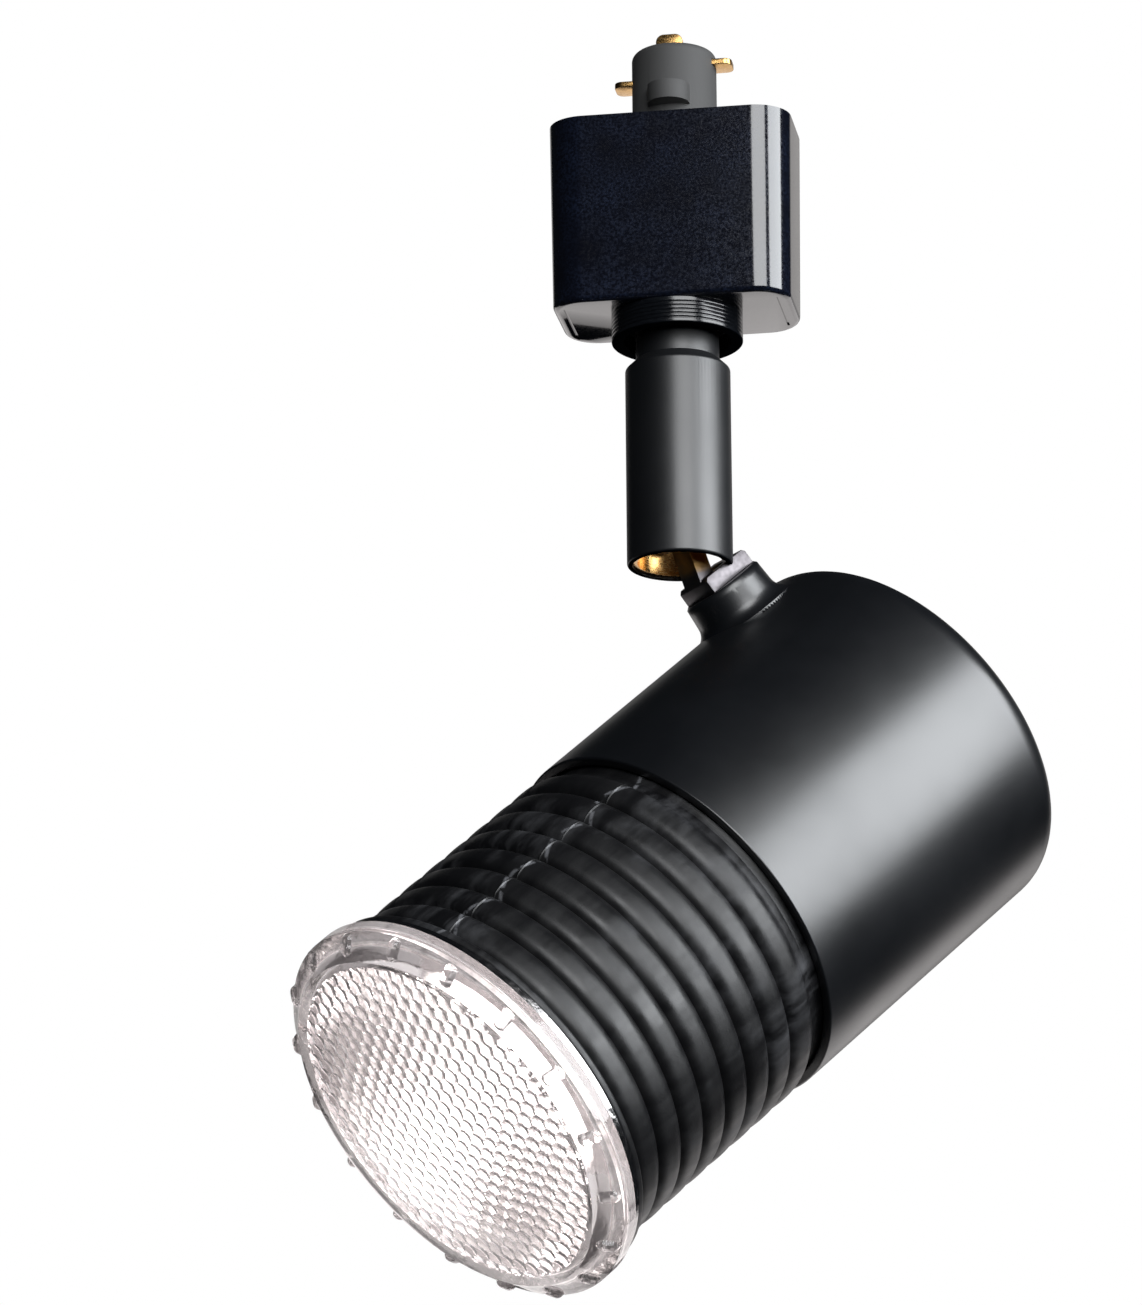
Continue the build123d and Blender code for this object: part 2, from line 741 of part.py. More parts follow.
with BuildPart() as link_lock_washer:
    washer_ring = disc(across_arm(lock_seat), lock_washer_diameter / 2, stud_diameter / 2)
    extrude(washer_ring, amount=lock_washer_thickness)
save(link_lock_washer, "link_lock_washer")

with BuildPart() as link_nut:
    with BuildSketch(across_arm(nut_seat)):
        RegularPolygon(radius=link_nut_flats / 2, side_count=6, major_radius=False)
        Circle(stud_diameter / 2, mode=Mode.SUBTRACT)
    extrude(amount=link_nut_height)
save(link_nut, "link_nut")

# The lamp's own places along its axis, which the holder follows.
rim_front = can_front + rim_reach
rim_back = rim_front - rim_thickness
lens_front = rim_front + bevel_rise + lens_dome
base_end = lens_front - lamp_overall
thread_start = base_end + base_contact_height + insulator_height
skirt_start = thread_start + thread_turns * thread_pitch
skirt_end = skirt_start + base_skirt

shell_front = skirt_start + shell_lead
socket_front = shell_front + socket_rim
contact_plane = base_end - end_gap
socket_bore = thread_major + lamp_gap + shell_wall

with BuildPart() as socket_body:
    socket_radius = socket_diameter / 2
    shell_seat = thread_start - shell_floor
    revolve(
        outline(
            head_section,
            [
                (0, socket_back),
                (socket_radius - socket_edge, socket_back),
                (socket_radius, socket_back + socket_edge),
                (socket_radius, socket_back + socket_floor + socket_shoulder),
                (socket_nose / 2 + nose_taper, socket_back + socket_floor + 2 * socket_shoulder),
                (socket_nose / 2 + nose_taper, socket_front - nose_taper),
                (socket_nose / 2, socket_front),
                (socket_bore + socket_slack, socket_front),
                (socket_bore + socket_slack, shell_seat),
                (base_contact_radius + contact_well, shell_seat),
                (base_contact_radius + contact_well, socket_back + socket_floor),
                (0, socket_back + socket_floor),
            ],
        ),
        axis=lamp_axis,
    )
    with BuildSketch(across_lamp(socket_back)):
        with Locations((-mount_screw_spacing / 2, 0), (mount_screw_spacing / 2, 0)):
            Circle(mount_screw_diameter / 2)
    extrude(amount=socket_floor - 2.5, mode=Mode.SUBTRACT)
    for turn in (-1, 1):
        with BuildSketch(around_lamp(socket_back, turn * terminal_angle)):
            with Locations((socket_radius - (terminal_depth - overshoot) / 2, 0)):
                Rectangle(terminal_depth + overshoot, terminal_head + terminal_slack)
        extrude(amount=socket_floor + overshoot, mode=Mode.SUBTRACT)
save(socket_body, "socket_body")

with BuildPart() as socket_screws:
    for side in (-1, 1):
        with BuildSketch(across_lamp(bracket_back)):
            with Locations((side * mount_screw_spacing / 2, 0)):
                Circle(mount_screw_head / 2)
        extrude(amount=-bracket_gap * 0.8)
        with BuildSketch(across_lamp(bracket_back)):
            with Locations((side * mount_screw_spacing / 2, 0)):
                Circle(mount_screw_diameter / 2)
        extrude(amount=bracket_thickness + socket_floor - 3)
save(socket_screws, "socket_screws")

with BuildPart() as socket_shell:
    socket_spring_gap = base_contact_radius + contact_well + 1.8
    inner = thread_profile(thread_start, thread_turns, lamp_gap)
    outer = [(socket_bore, shell_front), (socket_bore, thread_start - shell_wall)]
    revolve(
        outline(
            head_section,
            [
                (socket_spring_gap, thread_start - shell_wall),
                (socket_spring_gap, thread_start),
                (thread_minor + lamp_gap, thread_start),
                *inner[1:],
                (thread_minor + lamp_gap, shell_front),
                *outer,
            ],
        ),
        axis=lamp_axis,
    )
save(socket_shell, "socket_shell")

with BuildPart() as socket_contact:
    with BuildSketch(head_section):
        with BuildLine():
            spring_bottom = socket_back + socket_floor
            Polyline(
                (-spring_half_length, spring_bottom),
                (spring_half_length, spring_bottom),
                (spring_half_length, spring_bottom + spring_thickness),
                (-2.0, spring_bottom + spring_thickness),
                (2.8, contact_plane - 0.9),
                (2.8, contact_plane - 0.35),
                (-1.6, contact_plane - 0.35),
                (-1.6, contact_plane - 0.35 - spring_thickness),
                (1.8, contact_plane - 0.35 - spring_thickness),
                (-3.6, spring_bottom + spring_thickness),
                (-spring_half_length, spring_bottom + spring_thickness),
                close=True,
            )
        make_face()
    extrude(amount=spring_width / 2, both=True)
save(socket_contact, "socket_contact")

with BuildPart() as socket_terminals:
    for turn in (-1, 1):
        base_plane = around_lamp(socket_back + 5, turn * terminal_angle)
        seat = Plane(
            origin=base_plane.origin + base_plane.x_dir * (socket_radius - terminal_depth),
            x_dir=base_plane.z_dir,
            z_dir=base_plane.x_dir,
        )
        extrude(disc(seat, terminal_head / 2), amount=terminal_height)
        slot_face = Plane(
            origin=seat.origin + seat.z_dir * terminal_height, x_dir=seat.x_dir, z_dir=seat.z_dir
        )
        with BuildSketch(slot_face):
            Rectangle(terminal_head, terminal_slot)
        extrude(amount=-screw_slot_depth, mode=Mode.SUBTRACT)
save(socket_terminals, "socket_terminals")

with BuildPart() as lens_boot:
    boot_inner = boot_valley - boot_wall
    rib_start = can_front + boot_band
    rib_end = rib_start + boot_ribs * rib_pitch
    boot_front = rib_end + boot_bead_length
    with BuildSketch(head_section):
        with BuildLine():
            Polyline(
                (boot_inner, can_front - boot_sleeve),
                (can_inner, can_front - boot_sleeve),
                (can_inner, can_front - lip_depth - 0.5),
                (boot_valley - band_step, can_front - lip_depth),
                (boot_valley - band_step, can_front + boot_band * 0.45),
                (boot_valley, rib_start),
            )
            for rib in range(boot_ribs):
                foot = rib_start + rib * rib_pitch
                ThreePointArc(
                    (boot_valley, foot),
                    (boot_crest, foot + rib_pitch / 2),
                    (boot_valley, foot + rib_pitch),
                )
            Polyline(
                (boot_valley, rib_end),
                (boot_bead - 0.6, rib_end + 0.3),
                (boot_bead, rib_end + 0.9),
                (boot_bead, boot_front - 0.5),
                (boot_bead - 0.5, boot_front),
                (mouth_radius + lamp_gap, boot_front),
                (mouth_radius + lamp_gap, rib_end - 1.2),
                (boot_inner, rib_end - 4.5),
                (boot_inner, can_front - boot_sleeve),
            )
        make_face()
    revolve(axis=lamp_axis)
save(lens_boot, "lens_boot")

# ================================================================ lamp body
glass_front = rim_back
throat = skirt_end
mid_place = throat + bowl_share * (glass_front - flange_thickness - throat)
mid_radius = sqrt(throat_radius**2 + (mouth_radius**2 - throat_radius**2) * bowl_share) + 0.1

with BuildPart() as lamp_lens:
    bevel_inner = lamp_radius - bevel_width
    inner_radius = bevel_inner - lens_skirt
    with BuildSketch(head_section):
        with BuildLine():
            Polyline(
                (0, rim_back),
                (lamp_radius - rim_edge, rim_back),
                (lamp_radius, rim_back + rim_edge),
                (lamp_radius, rim_front),
                (bevel_inner, rim_front + bevel_rise),
            )
            ThreePointArc(
                (bevel_inner, rim_front + bevel_rise),
                (bevel_inner / 2, rim_front + bevel_rise + cap_middle(bevel_inner, lens_dome)),
                (0, lens_front),
            )
            Line((0, lens_front), (0, rim_back))
        make_face()
    revolve(axis=lamp_axis)
    with BuildSketch(head_section):
        with BuildLine():
            Polyline(
                (0, rim_back - overshoot),
                (inner_radius, rim_back - overshoot),
                (inner_radius, lens_front - lens_wall - lens_dome),
            )
            ThreePointArc(
                (inner_radius, lens_front - lens_wall - lens_dome),
                (inner_radius / 2, lens_front - lens_wall - lens_dome + cap_middle(inner_radius, lens_dome)),
                (0, lens_front - lens_wall),
            )
            Line((0, lens_front - lens_wall), (0, rim_back - overshoot))
        make_face()
    revolve(axis=lamp_axis, mode=Mode.SUBTRACT)
    bevel_angle = degrees(asin(bevel_rise / sqrt(bevel_rise**2 + bevel_width**2)))
    for bump in range(bump_count):
        spoke = around_lamp(rim_front + bevel_rise / 2, 360 / bump_count * (bump + 0.5))
        outwards = spoke.x_dir * sin(radians(bevel_angle)) + lens_dir * cos(radians(bevel_angle))
        along = spoke.x_dir * cos(radians(bevel_angle)) - lens_dir * sin(radians(bevel_angle))
        middle = spoke.origin + spoke.x_dir * (lamp_radius - bevel_width / 2)
        with BuildSketch(Plane(origin=middle - outwards * bump_root, x_dir=along, z_dir=outwards)):
            SlotOverall(bump_length, bump_width)
        extrude(amount=bump_root + bump_height)
save(lamp_lens, "lamp_lens")

with BuildPart() as lamp_reflector:
    flange_radius = lamp_radius - flange_inset
    with BuildSketch(head_section):
        with BuildLine():
            Polyline(
                (mouth_radius - glass_wall, glass_front),
                (flange_radius, glass_front),
                (flange_radius, glass_front - flange_thickness),
                (mouth_radius, glass_front - flange_thickness),
            )
            ThreePointArc(
                (mouth_radius, glass_front - flange_thickness),
                (mid_radius, mid_place),
                (throat_radius, throat),
            )
            Polyline(
                (throat_radius, throat),
                (neck_radius, throat),
                (neck_radius, throat - neck_length),
                (neck_radius - glass_wall, throat - neck_length),
                (neck_radius - glass_wall, throat + 1.0),
                (throat_radius - glass_wall + 0.3, throat + 1.6),
            )
            ThreePointArc(
                (throat_radius - glass_wall + 0.3, throat + 1.6),
                (mid_radius - glass_wall, mid_place + 0.4),
                (mouth_radius - glass_wall, glass_front),
            )
        make_face()
    revolve(axis=lamp_axis)
save(lamp_reflector, "lamp_reflector")

with BuildPart() as lamp_base_shell:
    base_bore = thread_minor - base_wall
    revolve(
        outline(
            head_section,
            [
                (base_contact_radius + insulator_spread, thread_start),
                *thread_profile(thread_start, thread_turns, 0),
                (thread_minor, skirt_end),
                (base_bore, skirt_end),
                (base_bore, thread_start + base_wall),
                (base_contact_radius + insulator_spread, thread_start + base_wall),
            ],
        ),
        axis=lamp_axis,
    )
save(lamp_base_shell, "lamp_base_shell")

with BuildPart() as lamp_base_insulator:
    insulator_end = base_end + base_contact_height
    revolve(
        outline(
            head_section,
            [
                (0, insulator_end),
                (base_contact_radius, insulator_end),
                (base_contact_radius + insulator_spread, thread_start - insulator_step),
                (base_contact_radius + insulator_spread, thread_start + insulator_depth),
                (0, thread_start + insulator_depth),
            ],
        ),
        axis=lamp_axis,
    )
save(lamp_base_insulator, "lamp_base_insulator")

with BuildPart() as lamp_base_contact:
    extrude(disc(across_lamp(base_end), base_contact_radius - base_contact_inset), amount=base_contact_height)
    fillet(lamp_base_contact.edges().filter_by(GeomType.CIRCLE), radius=base_contact_edge)
save(lamp_base_contact, "lamp_base_contact")

capsule_start = throat + capsule_lift
with BuildPart() as lamp_capsule:
    capsule_crown = capsule_start + capsule_length - capsule_radius
    for radius, foot, mode in (
        (capsule_radius, capsule_start, Mode.ADD),
        (capsule_radius - capsule_wall, capsule_start + pinch_length, Mode.SUBTRACT),
    ):
        with BuildSketch(head_section):
            with BuildLine():
                Polyline((0, capsule_crown + radius), (0, foot), (radius, foot), (radius, capsule_crown))
                ThreePointArc(
                    (radius, capsule_crown),
                    (radius * sqrt(0.5), capsule_crown + radius * sqrt(0.5)),
                    (0, capsule_crown + radius),
                )
            make_face()
        revolve(axis=lamp_axis, mode=mode)
save(lamp_capsule, "lamp_capsule")

filament_start = capsule_start + pinch_length + filament_lift
with BuildPart() as lamp_filament:
    coil_end = filament_start + filament_length
    extrude(disc(across_lamp(filament_start), filament_radius), amount=filament_length)
    tail = disc(across_lamp(capsule_start + pinch_length), wire_width / 2)
    extrude(tail, amount=filament_start - capsule_start - pinch_length)
    with BuildSketch(across_lamp(coil_end - wire_width)):
        with Locations((filament_radius, 0)):
            Rectangle(2 * filament_radius + wire_width, wire_width)
    extrude(amount=wire_width)
    with BuildSketch(across_lamp(capsule_start + pinch_length)):
        with Locations((2 * filament_radius, 0)):
            Rectangle(wire_width, wire_width)
    extrude(amount=coil_end - capsule_start - pinch_length)
save(lamp_filament, "lamp_filament")

with BuildPart() as capsule_supports:
    support_end = capsule_start + support_overlap
    support_base = thread_start + insulator_depth
    for side in (-1, 1):
        with BuildSketch(across_lamp(support_base)):
            with Locations((0, side * support_spread)):
                Circle(support_radius)
        extrude(amount=support_end - support_base)
save(capsule_supports, "capsule_supports")
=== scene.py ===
"""Track spotlight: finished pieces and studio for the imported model.

Laid out as an add-on and run as a script. Every piece is made in metres, in the model's own frame.
"""

import json
from math import atan2, cos, pi, radians, sin, sqrt, tan

import bmesh
import bpy
import numpy as np
from mathutils import Matrix, Vector
from mathutils.geometry import delaunay_2d_cdt


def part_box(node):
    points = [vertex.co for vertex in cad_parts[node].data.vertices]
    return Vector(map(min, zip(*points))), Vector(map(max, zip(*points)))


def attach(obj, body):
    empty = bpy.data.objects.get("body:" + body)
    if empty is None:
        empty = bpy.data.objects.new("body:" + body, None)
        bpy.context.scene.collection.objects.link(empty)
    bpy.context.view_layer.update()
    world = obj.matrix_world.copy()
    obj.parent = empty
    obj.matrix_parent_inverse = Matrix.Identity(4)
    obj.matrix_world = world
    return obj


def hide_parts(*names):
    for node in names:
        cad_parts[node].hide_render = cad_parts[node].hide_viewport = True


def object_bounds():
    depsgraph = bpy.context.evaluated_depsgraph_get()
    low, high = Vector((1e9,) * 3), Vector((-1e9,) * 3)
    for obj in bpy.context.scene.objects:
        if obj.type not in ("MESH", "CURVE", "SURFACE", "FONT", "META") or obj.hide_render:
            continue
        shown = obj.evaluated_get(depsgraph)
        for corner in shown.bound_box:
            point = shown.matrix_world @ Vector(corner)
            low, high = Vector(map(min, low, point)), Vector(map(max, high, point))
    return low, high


bl_info = {
    "name": "Track spotlight",
    "version": (1, 0, 0),
    "blender": (4, 5, 0),
    "location": "3D View > Sidebar > Spotlight",
    "description": "Builds the finished pieces and the studio of a track spotlight",
    "category": "Object",
}

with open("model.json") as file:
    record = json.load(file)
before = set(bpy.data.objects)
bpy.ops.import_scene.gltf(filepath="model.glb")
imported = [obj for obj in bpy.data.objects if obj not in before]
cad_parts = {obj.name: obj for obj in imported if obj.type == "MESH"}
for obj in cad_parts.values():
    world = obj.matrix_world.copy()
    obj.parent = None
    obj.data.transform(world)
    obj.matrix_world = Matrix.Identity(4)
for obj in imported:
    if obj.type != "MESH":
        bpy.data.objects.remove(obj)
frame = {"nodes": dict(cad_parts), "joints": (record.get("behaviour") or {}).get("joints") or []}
cad_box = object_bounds()

MM = 0.001
FADE = 0.1 * MM  # how far above a turned piece's lower edge its shine begins
joints = {joint["name"]: joint for joint in frame["joints"]}

# ---------------------------------------------------------------- where things are
pivot = Vector(joints["tilt"]["pos_m"])
lamp_centre = Vector(joints["lamp_turn"]["pos_m"])
lamp_dir = Vector(joints["lamp_turn"]["axis"]).normalized()
arm_dir = (pivot - lamp_centre).normalized()
UP = Vector((0, 0, 1))


def seat(origin, x_dir, z_dir):
    """The place of a frame with this origin, x and z."""
    y_dir = z_dir.cross(x_dir)
    place = Matrix((x_dir, y_dir, z_dir)).transposed().to_4x4()
    place.translation = origin
    return place


LAMP_PLACE = seat(lamp_centre, arm_dir, lamp_dir)


def corners(node):
    """Every corner of a CAD node, as an array in the model's frame."""
    mesh = frame["nodes"][node].data
    points = np.empty(len(mesh.vertices) * 3)
    mesh.vertices.foreach_get("co", points)
    return points.reshape(-1, 3)


def along(node, origin=lamp_centre, axis=lamp_dir):
    """How far a CAD node reaches along an axis: first and last place."""
    reach = (corners(node) - np.array(origin)) @ np.array(axis)
    return float(reach.min()), float(reach.max())


def widest(node, origin=lamp_centre, axis=lamp_dir):
    """The largest radius of a CAD node about an axis."""
    out = corners(node) - np.array(origin)
    out -= np.outer(out @ np.array(axis), np.array(axis))
    return float(np.linalg.norm(out, axis=1).max())


can_back, can_front = along("lamp_housing")
can_radius = widest("lamp_housing")
boot_back, boot_front = along("lens_boot")
boot_radius = widest("lens_boot")
lens_back, lens_front = along("lamp_lens")
reflector_back, reflector_front = along("lamp_reflector")
reflector_radius = widest("lamp_reflector")
flange_width = 3.1 * MM
mouth_radius = reflector_radius - flange_width
filament_back, filament_front = along("lamp_filament")
collar_low, collar_high = (corner.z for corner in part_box("stem_collar"))
collar_radius = widest("stem_collar", Vector(), UP)
stem_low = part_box("stem_tube")[0].z
target = (cad_box[0] + cad_box[1]) / 2


# ---------------------------------------------------------------- properties
def length(name, description, size):
    """A length property in metres, from a size in millimetres."""
    return bpy.props.FloatProperty(
        name=name, description=description, default=size * MM, unit="LENGTH", subtype="DISTANCE", precision=5
    )


def colour(name, description, value):
    """A colour property."""
    return bpy.props.FloatVectorProperty(
        name=name, description=description, default=value, size=3, min=0, max=1, subtype="COLOR"
    )


class SpotlightCanSettings(bpy.types.PropertyGroup):
    """Sizes of the lamp housing and the ribbed boot."""

    wall: length("Can wall", "Thickness of the drawn can", 1.2)
    rear_edge: length("Rear edge", "Radius of the can's rear edge", 4.5)
    lip_width: length("Lip width", "Width of the rolled lip at the front", 1.5)
    lip_depth: length("Lip depth", "Length of the rolled lip", 1.0)
    stud_hole: length("Stud hole", "Radius of the hole for the stud", 4.05)
    boot_band: length("Boot band", "Plain band between the can and the first rib", 3.0)
    rib_count: bpy.props.IntProperty(name="Ribs", description="Ribs on the boot", default=8, min=1)
    rib_pitch: length("Rib pitch", "Distance from rib to rib", 4.95)
    valley: length("Valley radius", "Radius of the boot between its ribs", 28.8)
    crest: length("Crest radius", "Radius of the boot on its ribs", 29.7)
    boot_inside: length("Boot inside", "Inside radius of the boot", 27.35)
    boot_mouth: length("Boot mouth", "Inside radius of the boot at its front", 28.4)
    seam_angle: bpy.props.FloatProperty(
        name="Seam", description="Where the mould's parting line runs", default=radians(-37), subtype="ANGLE"
    )


class SpotlightLampSettings(bpy.types.PropertyGroup):
    """Sizes of the reflector lamp."""

    bevel_width: length("Bevel width", "Width of the bevel round the lens", 3.55)
    bevel_rise: length("Bevel rise", "Height of the bevel", 2.85)
    dome: length("Dome", "Rise of the lens across its face", 1.75)
    rim_thickness: length("Rim", "Thickness of the rim", 2.75)
    lens_wall: length("Lens wall", "Thickness of the lens at its centre", 2.2)
    lug_count: bpy.props.IntProperty(name="Lugs", description="Lugs round the bevel", default=18, min=3)
    lug_length: length("Lug length", "Length of a lug across the bevel", 3.4)
    lug_width: length("Lug width", "Width of a lug", 2.1)
    lug_height: length("Lug height", "Height of a lug", 0.85)
    cell_pitch: length("Cell pitch", "Distance from lenslet to lenslet", 2.5)
    cell_depth: length("Cell depth", "Depth of a lenslet", 0.42)
    glass: length("Glass", "Thickness of the reflector's glass", 1.5)
    throat: length("Throat", "Inside radius of the reflector at its throat", 11.8)
    # Centre of the painted reflection of the burner, a glint painted onto the bowl.
    painted_glint_centre: bpy.props.FloatVectorProperty(
        name="Bright patch",
        description="Centre of the glow added to the bowl, in the lamp's own frame",
        default=(-0.0053, 0.0245, 0.082),
        subtype="TRANSLATION",
        unit="LENGTH",
    )
    coil_turns: bpy.props.FloatProperty(name="Turns", description="Turns of the filament", default=16, min=1)
    coil_radius: length("Coil radius", "Radius of the filament's coil", 0.72)
    wire_radius: length("Wire radius", "Radius of the filament's wire", 0.16)


class SpotlightStemSettings(bpy.types.PropertyGroup):
    """Sizes of the collar and the plated pieces."""

    groove_count: bpy.props.IntProperty(
        name="Grooves", description="Grooves round the collar", default=5, min=1
    )
    groove_pitch: length("Groove pitch", "Distance from groove to groove", 0.62)
    groove_depth: length("Groove depth", "Depth of a groove", 0.16)
    collar_bore: length("Collar bore", "Inside radius of the collar", 8.2)
    collar_web: length("Collar web", "Thickness of the collar's web", 1.2)
    spindle_bore: length("Spindle bore", "Radius of the hole in the web", 4.98)
    soft_edge: length("Soft edge", "Radius of the broken edges on turned pieces", 0.18)
    case_edge: length("Case edge", "Radius of the broken edges on moulded pieces", 0.25)


class SpotlightColours(bpy.types.PropertyGroup):
    """Colours of the finishes."""

    case_black: colour("Case", "Gloss moulding of the adapter", (0.0025, 0.003, 0.006))
    enamel_black: colour("Enamel", "Satin enamel of the can and the stem", (0.0025, 0.003, 0.004))
    boot_black: colour("Boot", "Semi-matt moulding of the boot", (0.0030, 0.0030, 0.0036))
    dust: colour("Dust", "Dust and rub marks on the boot", (0.10, 0.102, 0.11))
    brass: colour("Brass", "Drawn brass", (0.60, 0.36, 0.13))
    nickel: colour("Nickel", "Nickel plate", (0.12, 0.112, 0.118))
    zinc: colour("Zinc", "Zinc plate", (0.55, 0.56, 0.58))
    glass: colour("Glass", "Tint of the pressed glass", (0.90, 0.845, 0.85))
    glow: colour("Glow", "Light of the lamp", (1.0, 0.97, 0.94))


class SpotlightStageSettings(bpy.types.PropertyGroup):
    """The camera, the floor and the backdrop."""

    azimuth: bpy.props.FloatProperty(
        name="Azimuth", description="Camera round the fixture", default=radians(9.237), subtype="ANGLE"
    )
    elevation: bpy.props.FloatProperty(
        name="Elevation", description="Camera above the fixture", default=radians(-16.848), subtype="ANGLE"
    )
    roll: bpy.props.FloatProperty(
        name="Roll",
        description="Camera turned about its line of sight",
        default=radians(-0.41),
        subtype="ANGLE",
    )
    distance: length("Distance", "Camera to its aim", 1029.6)
    aim: bpy.props.FloatVectorProperty(
        name="Aim",
        description="Point the camera looks at",
        default=(-0.01674, 0.0, -0.08213),
        subtype="TRANSLATION",
        unit="LENGTH",
    )
    lens: bpy.props.FloatProperty(
        name="Lens", description="Focal length in millimetres", default=188.8, min=1
    )
    sensor: bpy.props.FloatProperty(name="Sensor", description="Long side of the sensor", default=36, min=1)
    floor_level: length("Floor", "Height of the floor", -1700)
    room_radius: length("Room", "Radius of the floor and backdrop", 6000)
    floor_colour: colour("Floor colour", "Colour of the floor", (0.80, 0.79, 0.77))


# ---------------------------------------------------------------- meshes
def rounded(outline, closed=True, steps=6):
    """An outline through corners (x, y, fillet), with an arc at each corner that has a fillet."""
    points = []
    count = len(outline)
    for index, (x, y, fillet) in enumerate(outline):
        corner = Vector((x, y))
        if fillet == 0 or (not closed and index in (0, count - 1)):
            points.append(corner)
            continue
        before = (Vector(outline[index - 1][:2]) - corner).normalized()
        after = (Vector(outline[(index + 1) % count][:2]) - corner).normalized()
        half = before.angle(after) / 2
        centre = corner + (before + after).normalized() * (fillet / sin(half))
        first = corner + before * (fillet / tan(half)) - centre
        last = corner + after * (fillet / tan(half)) - centre
        sweep = pi - 2 * half
        for step in range(steps + 1):
            share = step / steps
            swung = first * sin((1 - share) * sweep) + last * sin(share * sweep)
            points.append(centre + swung / sin(sweep))
    return [tuple(point) for point in points]


def even_angles(count):
    """Angles spaced evenly round a circle."""
    return [2 * pi * index / count for index in range(count)]


def turned(profile, angles, closed=True):
    """Corners and faces of an outline (radius, height) turned about z."""
    rows = len(profile)
    columns = len(angles)
    points = [(r * cos(a), r * sin(a), z) for r, z in profile for a in angles]
    faces = []
    for row in range(rows if closed else rows - 1):
        low = row * columns
        high = (row + 1) % rows * columns
        for column in range(columns):
            right = (column + 1) % columns
            faces.append((low + column, low + right, high + right, high + column))
    return points, faces


def welded(name, shells, place=None, weld=1e-7):
    """One closed mesh of the shells, with shared corners joined and faces outwards."""
    mesh = bpy.data.meshes.new(name)
    points, faces = [], []
    for shell_points, shell_faces in shells:
        start = len(points)
        points += [tuple(point) for point in shell_points]
        faces += [tuple(start + index for index in face) for face in shell_faces]
    mesh.from_pydata(points, [], faces)
    form = bmesh.new()
    form.from_mesh(mesh)
    bmesh.ops.remove_doubles(form, verts=form.verts, dist=weld)
    bmesh.ops.dissolve_degenerate(form, edges=form.edges, dist=weld)
    bmesh.ops.recalc_face_normals(form, faces=form.faces)
    if place is not None:
        bmesh.ops.transform(form, matrix=place, verts=form.verts)
    form.to_mesh(mesh)
    form.free()
    return mesh


def shell_of(mesh):
    """Corners and faces of a mesh, to weld to others."""
    return [tuple(v.co) for v in mesh.vertices], [tuple(p.vertices) for p in mesh.polygons]


def piece(name, mesh, finish, smooth=30):
    """An object for a finished mesh, smooth except at edges sharper than the angle given."""
    mesh.materials.clear()
    mesh.materials.append(finish)
    thing = bpy.data.objects.new(name, mesh)
    bpy.context.scene.collection.objects.link(thing)
    mesh.shade_smooth()
    mesh.set_sharp_from_angle(angle=radians(smooth))
    return thing


def evaluated(thing):
    """The object's mesh with its modifiers applied, and no modifier left on it."""
    bpy.context.view_layer.update()
    graph = bpy.context.evaluated_depsgraph_get()
    mesh = bpy.data.meshes.new_from_object(thing.evaluated_get(graph))
    thing.modifiers.clear()
    thing.data = mesh
    return mesh


def place_in_model(thing, body, slot, *nodes):
    """Let a finished piece ride on its body and stand for its CAD nodes."""
    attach(thing, body)
    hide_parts(*nodes)


def refined(node, finish, edge, smooth=30):
    """A welded copy of a CAD node with its edges broken."""
    mesh = frame["nodes"][node].data.copy()
    mesh.name = node + "_finished"
    form = bmesh.new()
    form.from_mesh(mesh)
    bmesh.ops.remove_doubles(form, verts=form.verts, dist=2e-6)
    flat = [e for e in form.edges if len(e.link_faces) == 2 and e.calc_face_angle(1) < radians(0.4)]
    bmesh.ops.dissolve_edges(form, edges=flat, use_verts=False, use_face_split=False)
    form.to_mesh(mesh)
    form.free()
    thing = piece(node + "_finished", mesh, finish, smooth)
    if edge > 0:
        bevel = thing.modifiers.new("broken_edges", "BEVEL")
        bevel.width = edge
        bevel.segments = 3
        bevel.limit_method = "ANGLE"
        bevel.angle_limit = radians(40)
        bevel.harden_normals = False
        evaluated(thing)
        thing.data.shade_smooth()
        thing.data.set_sharp_from_angle(angle=radians(smooth))
    return thing


def refine_all(body, rows):
    """Finish CAD nodes that keep their shape: rows of node, finish, slot and the size of the broken edges."""
    for node, finish, slot, edge in rows:
        place_in_model(refined(node, finish_named(finish), edge), body, slot, node)


# ---------------------------------------------------------------- repeats
def geometry_tree(name, **sockets):
    """An empty Geometry Nodes tree with these inputs besides its geometry, and its two end nodes."""
    tree = bpy.data.node_groups.new(name, "GeometryNodeTree")
    face = tree.interface
    face.new_socket(name="Geometry", in_out="INPUT", socket_type="NodeSocketGeometry")
    for socket, kind in sockets.items():
        face.new_socket(name=socket, in_out="INPUT", socket_type="NodeSocket" + kind)
    face.new_socket(name="Geometry", in_out="OUTPUT", socket_type="NodeSocketGeometry")
    return tree, tree.nodes.new("NodeGroupInput"), tree.nodes.new("NodeGroupOutput")


